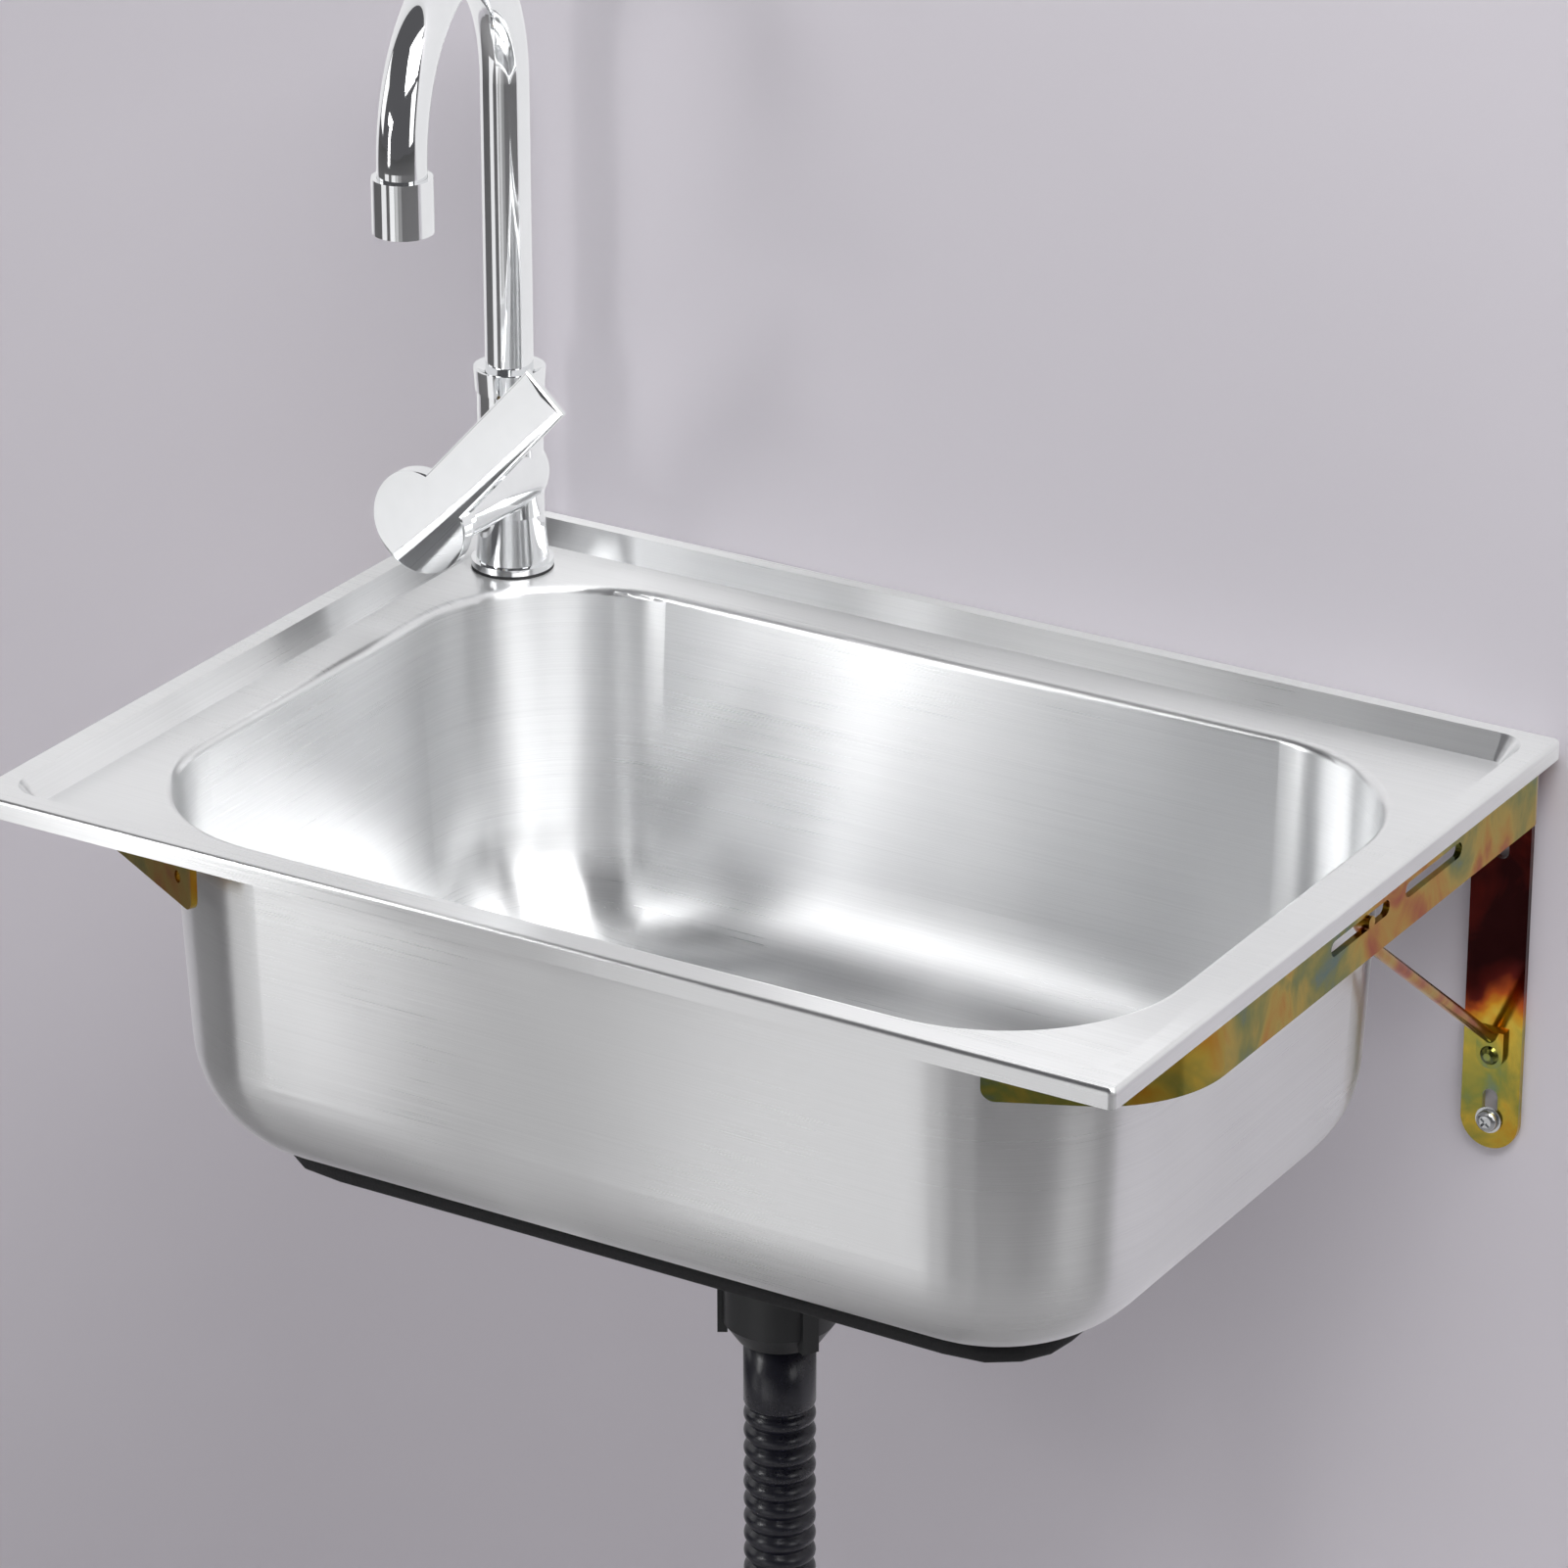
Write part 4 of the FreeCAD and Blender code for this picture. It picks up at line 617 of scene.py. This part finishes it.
@dataclass
class DrainHose:
    """Ribbed hose that hangs from the waste nut to its plug."""

    x: float = DRAIN_X
    y: float = DRAIN_Y
    heights: tuple[float, ...] = (-0.1555, -0.2856, -0.4157, -0.5458, -0.6759)
    width: float = 0.0324
    valley: float = 0.0272
    wall: float = 0.0013
    cuff: float = 0.034
    shoulder: float = 0.002
    lip: float = 0.0004
    lip_drop: float = 0.0006
    pitch: float = 0.0087
    groove_share: float = 0.16
    rib_fullness: float = 0.62
    ribs: int = 52
    sides: int = 48
    rib_rings: int = 10
    smooth_angle: float = 80.0

    @property
    def length(self) -> float:
        """The hose's length below the nut."""
        return self.heights[0] - self.heights[-1]

    def route(self) -> list[Vector]:
        """Reads the hose's line from a smooth curve through its route.

        Returns:
            Points from the nut down to the hose's end.
        """
        curve = bpy.data.curves.new("hose_route", "CURVE")
        curve.dimensions = "3D"
        spline = curve.splines.new("NURBS")
        spline.points.add(len(self.heights) - 1)
        for point, height in zip(spline.points, self.heights):
            point.co = (self.x, self.y, height, 1.0)
        spline.order_u = 3
        spline.use_endpoint_u = True
        line = bpy.data.objects.new("hose_route", curve)
        bpy.context.scene.collection.objects.link(line)
        mesh = bpy.data.meshes.new_from_object(line)
        points = [corner.co.copy() for corner in mesh.vertices]
        bpy.data.objects.remove(line)
        bpy.data.meshes.remove(mesh)
        return points

    def profile(self) -> list[tuple[float, float]]:
        """Works out the hose's rings: a cuff, the ribs with a groove before each, and a cuff.

        Returns:
            Pairs of a distance from the nut and the radius there.
        """
        crest = self.width / 2
        root = self.valley / 2
        edge = crest - self.lip_drop
        rings = [(0.0, crest), (self.cuff - self.shoulder, crest)]
        rings += [(self.cuff - self.lip, edge), (self.cuff, root)]
        for rib in range(self.ribs):
            start = self.cuff + rib * self.pitch
            for step in range(1, self.rib_rings):
                share = step / self.rib_rings
                along = max(0.0, share - self.groove_share) / (1 - self.groove_share)
                swell = math.sin(math.pi * along) ** self.rib_fullness
                rings.append((start + share * self.pitch, root + (crest - root) * swell))
        low = self.cuff + self.ribs * self.pitch
        rings += [(low, root), (low + self.lip, edge), (low + self.shoulder, crest)]
        rings.append((self.length, crest))
        return rings

    def build(self) -> bpy.types.Object:
        """Models the hose ring by ring along its line.

        Returns:
            The dressed hose.
        """
        path = self.route()
        start = path[0]
        rings = self.profile()
        deselect()
        bpy.ops.mesh.primitive_circle_add(
            vertices=self.sides, radius=rings[0][1], location=start
        )
        piece = start_piece("drain_hose_tube")
        for (before, radius), (after, following) in zip(rings, rings[1:]):
            bpy.ops.mesh.extrude_edges_move()
            bpy.ops.transform.translate(value=(0, 0, before - after))
            share = following / radius
            centre = (self.x, self.y, start.z - after)
            bpy.ops.transform.resize(value=(share, share, 1), center_override=centre)
        finish_piece(self.smooth_angle)
        apply_modifier(piece, "SOLIDIFY", {"thickness": self.wall, "offset": -1.0})
        dress(piece, HOSE_PLASTIC, Body.SINK)
        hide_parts("drain_hose")
        return piece


@dataclass
class SoundPad:
    """Black pad under the bowl, with soft edges and a round hole for the waste."""

    node: str = "sound_pad"
    drain: tuple[float, float] = (DRAIN_X, DRAIN_Y)
    hole: float = 0.058
    corner: float = 0.034
    edge: float = 0.0028
    edge_rows: int = 4
    glue: float = 0.0003
    fill: float = 0.9
    sides: int = 96
    halvings: int = 40

    def outline(self, low: Vector, high: Vector) -> Callable[[float], tuple[float, float]]:
        """Gives the pad's outer line by direction.

        Args:
            low: lowest corner of the pad.
            high: highest corner of the pad.

        Returns:
            A function from an angle about the pad's middle to a point of the outline.
        """
        middle = ((low.x + high.x) / 2, (low.y + high.y) / 2)
        half = ((high.x - low.x) / 2, (high.y - low.y) / 2)

        def at(angle: float) -> tuple[float, float]:
            """Finds the outline in one direction by halving the reach.

            Args:
                angle: the direction from the middle, in radians.

            Returns:
                The outline's point there.
            """
            dx, dy = math.cos(angle), math.sin(angle)
            near, far = 0.0, half[0] + half[1]
            for _ in range(self.halvings):
                reach = (near + far) / 2
                past_x = abs(dx * reach) - half[0] + self.corner
                past_y = abs(dy * reach) - half[1] + self.corner
                round_part = math.hypot(max(past_x, 0), max(past_y, 0))
                away = round_part + min(max(past_x, past_y), 0) - self.corner
                near, far = (reach, far) if away < 0 else (near, reach)
            return middle[0] + dx * near, middle[1] + dy * near

        return at

    def build(self) -> bpy.types.Object:
        """Models the pad: the hole's edge drawn out to the outline, thickened, then softened.

        Returns:
            The dressed pad.
        """
        low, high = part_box(self.node)
        at = self.outline(low, high)
        top = high.z - self.glue
        deselect()
        bpy.ops.mesh.primitive_circle_add(
            vertices=self.sides, radius=self.hole, location=(*self.drain, top)
        )
        piece = start_piece("sound_pad_sheet")
        bpy.ops.mesh.extrude_edges_move()
        mesh = bmesh.from_edit_mesh(piece.data)
        for corner in [c for c in mesh.verts if c.select]:
            x, y = at(math.atan2(corner.co.y, corner.co.x))
            corner.co.x, corner.co.y = x - self.drain[0], y - self.drain[1]
        bmesh.update_edit_mesh(piece.data)
        bpy.ops.mesh.select_all(action="SELECT")
        down = {"value": (0, 0, low.z - high.z + self.glue)}
        bpy.ops.mesh.extrude_region_move(TRANSFORM_OT_translate=down)
        finish_piece()
        settings = {"width": self.edge, "segments": self.edge_rows, "limit_method": "ANGLE"}
        apply_modifier(piece, "BEVEL", settings)
        smooth()
        dress(piece, PAD_FOAM, Body.SINK)
        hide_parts(self.node)
        return piece


@dataclass
class WallScrews:
    """Four pan-head wall screws with threads and cross recesses, in the space of their solids."""

    node: str = "wall_screws"
    spread: float = 0.25
    rise: float = 0.0705
    tip: float = 0.037
    thread_start: float = 0.0345
    thread_end: float = -0.001
    pitch: float = 0.00185
    crest: float = 0.0025
    root: float = 0.0021
    neck: float = 0.0023
    seat: float = -0.0042
    dome: tuple[tuple[float, float], ...] = (
        (-0.0058, 0.005),
        (-0.0066, 0.0046),
        (-0.0072, 0.0039),
        (-0.0076, 0.003),
    )
    point: float = 0.0003
    recess_reach: float = 0.0054
    recess_width: float = 0.0011
    recess_depth: float = 0.0017
    recess_taper: float = 0.6
    sides: int = 24
    turns: tuple[float, ...] = (20.0, 64.0, 41.0, 8.0)

    def profile(self) -> list[tuple[float, float]]:
        """Works out the screw's rings from its point to its crown.

        Returns:
            Pairs of a place along Y and the radius there.
        """
        rings = [(self.tip, self.point), (self.thread_start, self.root)]
        turns = int((self.thread_start - self.thread_end) / self.pitch)
        for turn in range(turns):
            start = self.thread_start - turn * self.pitch
            rings += [(start - self.pitch / 2, self.crest), (start - self.pitch, self.root)]
        rings += [(self.thread_end, self.neck), (self.seat, self.neck)]
        rings.append((self.seat, self.dome[0][1]))
        return rings + list(self.dome)

    def shaft(self) -> bpy.types.Object:
        """Models one screw ring by ring along the Y axis.

        Returns:
            The screw, without its recess.
        """
        rings = self.profile()
        start, radius = rings[0]
        deselect()
        bpy.ops.mesh.primitive_circle_add(
            vertices=self.sides,
            radius=radius,
            fill_type="NGON",
            location=(0, start, 0),
            rotation=(math.pi / 2, 0, 0),
        )
        place_in_mesh()
        screw = start_piece("wall_screw")
        for (before, radius), (after, following) in zip(rings, rings[1:]):
            share = following / radius
            bpy.ops.mesh.extrude_edges_move()
            bpy.ops.transform.translate(value=(0, after - before, 0))
            bpy.ops.transform.resize(value=(share, 1, share), center_override=(0, after, 0))
        bpy.ops.mesh.edge_face_add()
        finish_piece()
        return screw

    def cut_recess(self, screw: bpy.types.Object) -> None:
        """Cuts two crossed tapered slots into a screw's head.

        Args:
            screw: the screw, in object mode.
        """
        crown = self.dome[-1][0]
        foot = (0, crown + self.recess_depth, 0)
        taper = (self.recess_taper, 1, self.recess_taper)
        reach, width = self.recess_reach, self.recess_width
        for along_x, along_z in ((reach, width), (width, reach)):
            deselect()
            scale = (along_x, 2 * self.recess_depth, along_z)
            bpy.ops.mesh.primitive_cube_add(size=1, location=(0, crown, 0), scale=scale)
            place_in_mesh()
            bar = start_piece("recess_bar")
            mesh = bmesh.from_edit_mesh(bar.data)
            for face in mesh.faces:
                face.select_set(face.normal.y > 0.5)
            bmesh.update_edit_mesh(bar.data)
            bpy.ops.transform.resize(value=taper, center_override=foot)
            finish_piece()
            deselect()
            screw.select_set(True)
            bpy.context.view_layer.objects.active = screw
            settings = {"operation": "DIFFERENCE", "object": bar, "solver": "EXACT"}
            apply_modifier(screw, "BOOLEAN", settings)
            bpy.data.objects.remove(bar)

    def build(self) -> bpy.types.Object:
        """Models one screw, copies it to its four places and joins the copies.

        Returns:
            The dressed screws.
        """
        screw = self.shaft()
        self.cut_recess(screw)
        columns, rows = (-self.spread, self.spread), (-self.rise, self.rise)
        places = [(x, z) for x in columns for z in rows]
        deselect()
        for (x, z), turn in zip(places, self.turns):
            copy = bpy.data.objects.new("wall_screws_cross", screw.data.copy())
            copy.location = (x, 0, z)
            copy.rotation_euler = (0, math.radians(turn), 0)
            bpy.context.scene.collection.objects.link(copy)
            copy.select_set(True)
            bpy.context.view_layer.objects.active = copy
        bpy.data.objects.remove(screw)
        place_in_mesh()
        bpy.ops.object.join()
        piece = bpy.context.object
        piece.name = "wall_screws_cross"
        smooth()
        dress(piece, CLEAR_ZINC, Body.SINK)
        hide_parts(self.node)
        return piece


def link_aimed(thing: bpy.types.Object, where: Point, direction: Vector) -> None:
    """Puts a lamp or a camera into the scene and aims it.

    Args:
        thing: the lamp or camera.
        where: its place.
        direction: where it looks to.
    """
    thing.location = where
    thing.rotation_mode = "QUATERNION"
    thing.rotation_quaternion = direction.to_track_quat("-Z", "Y")
    bpy.context.scene.collection.objects.link(thing)


@dataclass(frozen=True)
class Softbox:
    """One softbox: its place, the point that it lights, its sides in metres and its watts."""

    name: str
    where: Point
    towards: Point
    width: float
    height: float
    power: float

    def build(self) -> None:
        """Adds the softbox to the scene."""
        lamp = bpy.data.lights.new(self.name, "AREA")
        lamp.shape = "RECTANGLE"
        lamp.size = self.width
        lamp.size_y = self.height
        lamp.energy = self.power
        direction = Vector(self.towards) - Vector(self.where)
        link_aimed(bpy.data.objects.new(self.name, lamp), self.where, direction)


@dataclass
class Stage:
    """Pale floor under the hose's plug, pale wall behind the brackets, softboxes and camera."""

    floor_z: float = -0.690
    wall_y: float = 0.0006
    flat_side: float = 14.0
    floor: Backdrop = PALE_FLOOR
    wall: Backdrop = PALE_WALL
    camera_at: Point = (1.38965, -2.48692, 1.28116)
    azimuth: float = 31.192
    elevation: float = 23.668
    lens: float = 157.4
    sensor: float = 36.0
    sight: float = 50.0
    room_dark: Colour = (0.07, 0.07, 0.075)
    room_pale: Colour = (0.62, 0.61, 0.63)
    room_shine: float = 0.06
    lamps: tuple[Softbox, ...] = (
        Softbox("band_strip", (-0.67, -1.15, 0.57), (0.0, -0.15, 0.0), 0.42, 0.12, 1.3),
        Softbox("back_strip", (-0.65, -1.15, 0.29), (0.0, -0.15, 0.0), 0.15, 0.40, 1.4),
        Softbox("middle_strip", (-0.26, -1.15, -0.32), (0.0, -0.3, 0.0), 0.36, 0.66, 0.66),
        Softbox("corner_strip", (0.03, -1.15, -0.32), (0.1, -0.3, 0.0), 0.22, 0.66, 0.21),
        Softbox("fade_strip", (0.27, -1.15, -0.32), (0.15, -0.3, 0.0), 0.26, 0.66, 0.09),
        Softbox("lever_panel", (-0.98, -1.15, -0.33), (-0.25, -0.13, 0.17), 0.50, 0.60, 0.76),
        Softbox("left_box", (-1.65, -0.56, 0.55), (-0.25, -0.1, 0.25), 0.7, 0.6, 1.7),
        Softbox("right_box", (1.9, -0.75, 0.75), (0.0, -0.2, 0.0), 0.7, 1.2, 4.6),
        Softbox("top_box", (1.2, -1.2, 2.4), (0.0, -0.2, 0.0), 1.8, 1.8, 25.0),
        Softbox("wall_wash", (0.9, -0.8, 1.7), (0.1, 0.0, 0.30), 1.6, 0.8, 22.0),
    )

    def plane(self, name: str, where: Point, turn: Point, finish: Backdrop) -> None:
        """Adds one flat of the stage.

        Args:
            name: its name.
            where: its centre.
            turn: its rotation.
            finish: its finish.
        """
        deselect()
        bpy.ops.mesh.primitive_plane_add(size=self.flat_side, location=where, rotation=turn)
        flat = bpy.context.object
        flat.name = name
        flat.data.materials.append(finish.build())

    def light(self) -> None:
        """Adds the softboxes and the even light of the room."""
        for lamp in self.lamps:
            lamp.build()
        room = Shader("room", True)
        path = room.node("ShaderNodeLightPath")
        mirrored = Value(room, path.outputs["Is Glossy Ray"]) * self.room_shine
        seen = Value(room, path.outputs["Is Camera Ray"]) + mirrored
        colour = room.mix(seen, self.room_dark, self.room_pale)
        air = room.node("ShaderNodeBackground", None, {0: colour})
        room.node("ShaderNodeOutputWorld", None, {0: air.outputs[0]})
        bpy.context.scene.world = room.material

    def camera(self) -> None:
        """Sets the camera at the photograph's place."""
        turn, tilt = math.radians(self.azimuth), math.radians(self.elevation)
        out = math.cos(tilt)
        back = Vector((math.sin(turn) * out, -math.cos(turn) * out, math.sin(tilt)))
        data = bpy.data.cameras.new("photo_camera")
        data.sensor_width = self.sensor
        data.lens = self.lens
        data.clip_end = self.sight
        camera = bpy.data.objects.new("photo_camera", data)
        link_aimed(camera, self.camera_at, -back)
        bpy.context.scene.camera = camera

    def build(self) -> None:
        """Builds the stage."""
        self.camera()
        self.plane("floor", (0, 0, self.floor_z), (0, 0, 0), self.floor)
        self.plane("wall", (0, self.wall_y, 0), (math.pi / 2, 0, 0), self.wall)
        self.light()
        bpy.context.scene.view_settings.view_transform = "Standard"


def dress_nodes() -> None:
    """Gives every solid that stays its own finish."""
    for finish, names in NODE_FINISHES.items():
        material = finish.build()
        for name in names:
            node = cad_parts[name]
            node.data.materials.clear()
            node.data.materials.append(material)
            LOG.info("solid %s has %s", name, finish.name)


def main() -> None:
    """Builds the stage, dresses the solids and adds the modelled pieces."""
    logging.basicConfig(level=logging.INFO)
    Stage().build()
    dress_nodes()
    DrainHose().build()
    SoundPad().build()
    WallScrews().build()


if __name__ == "__main__":
    main()
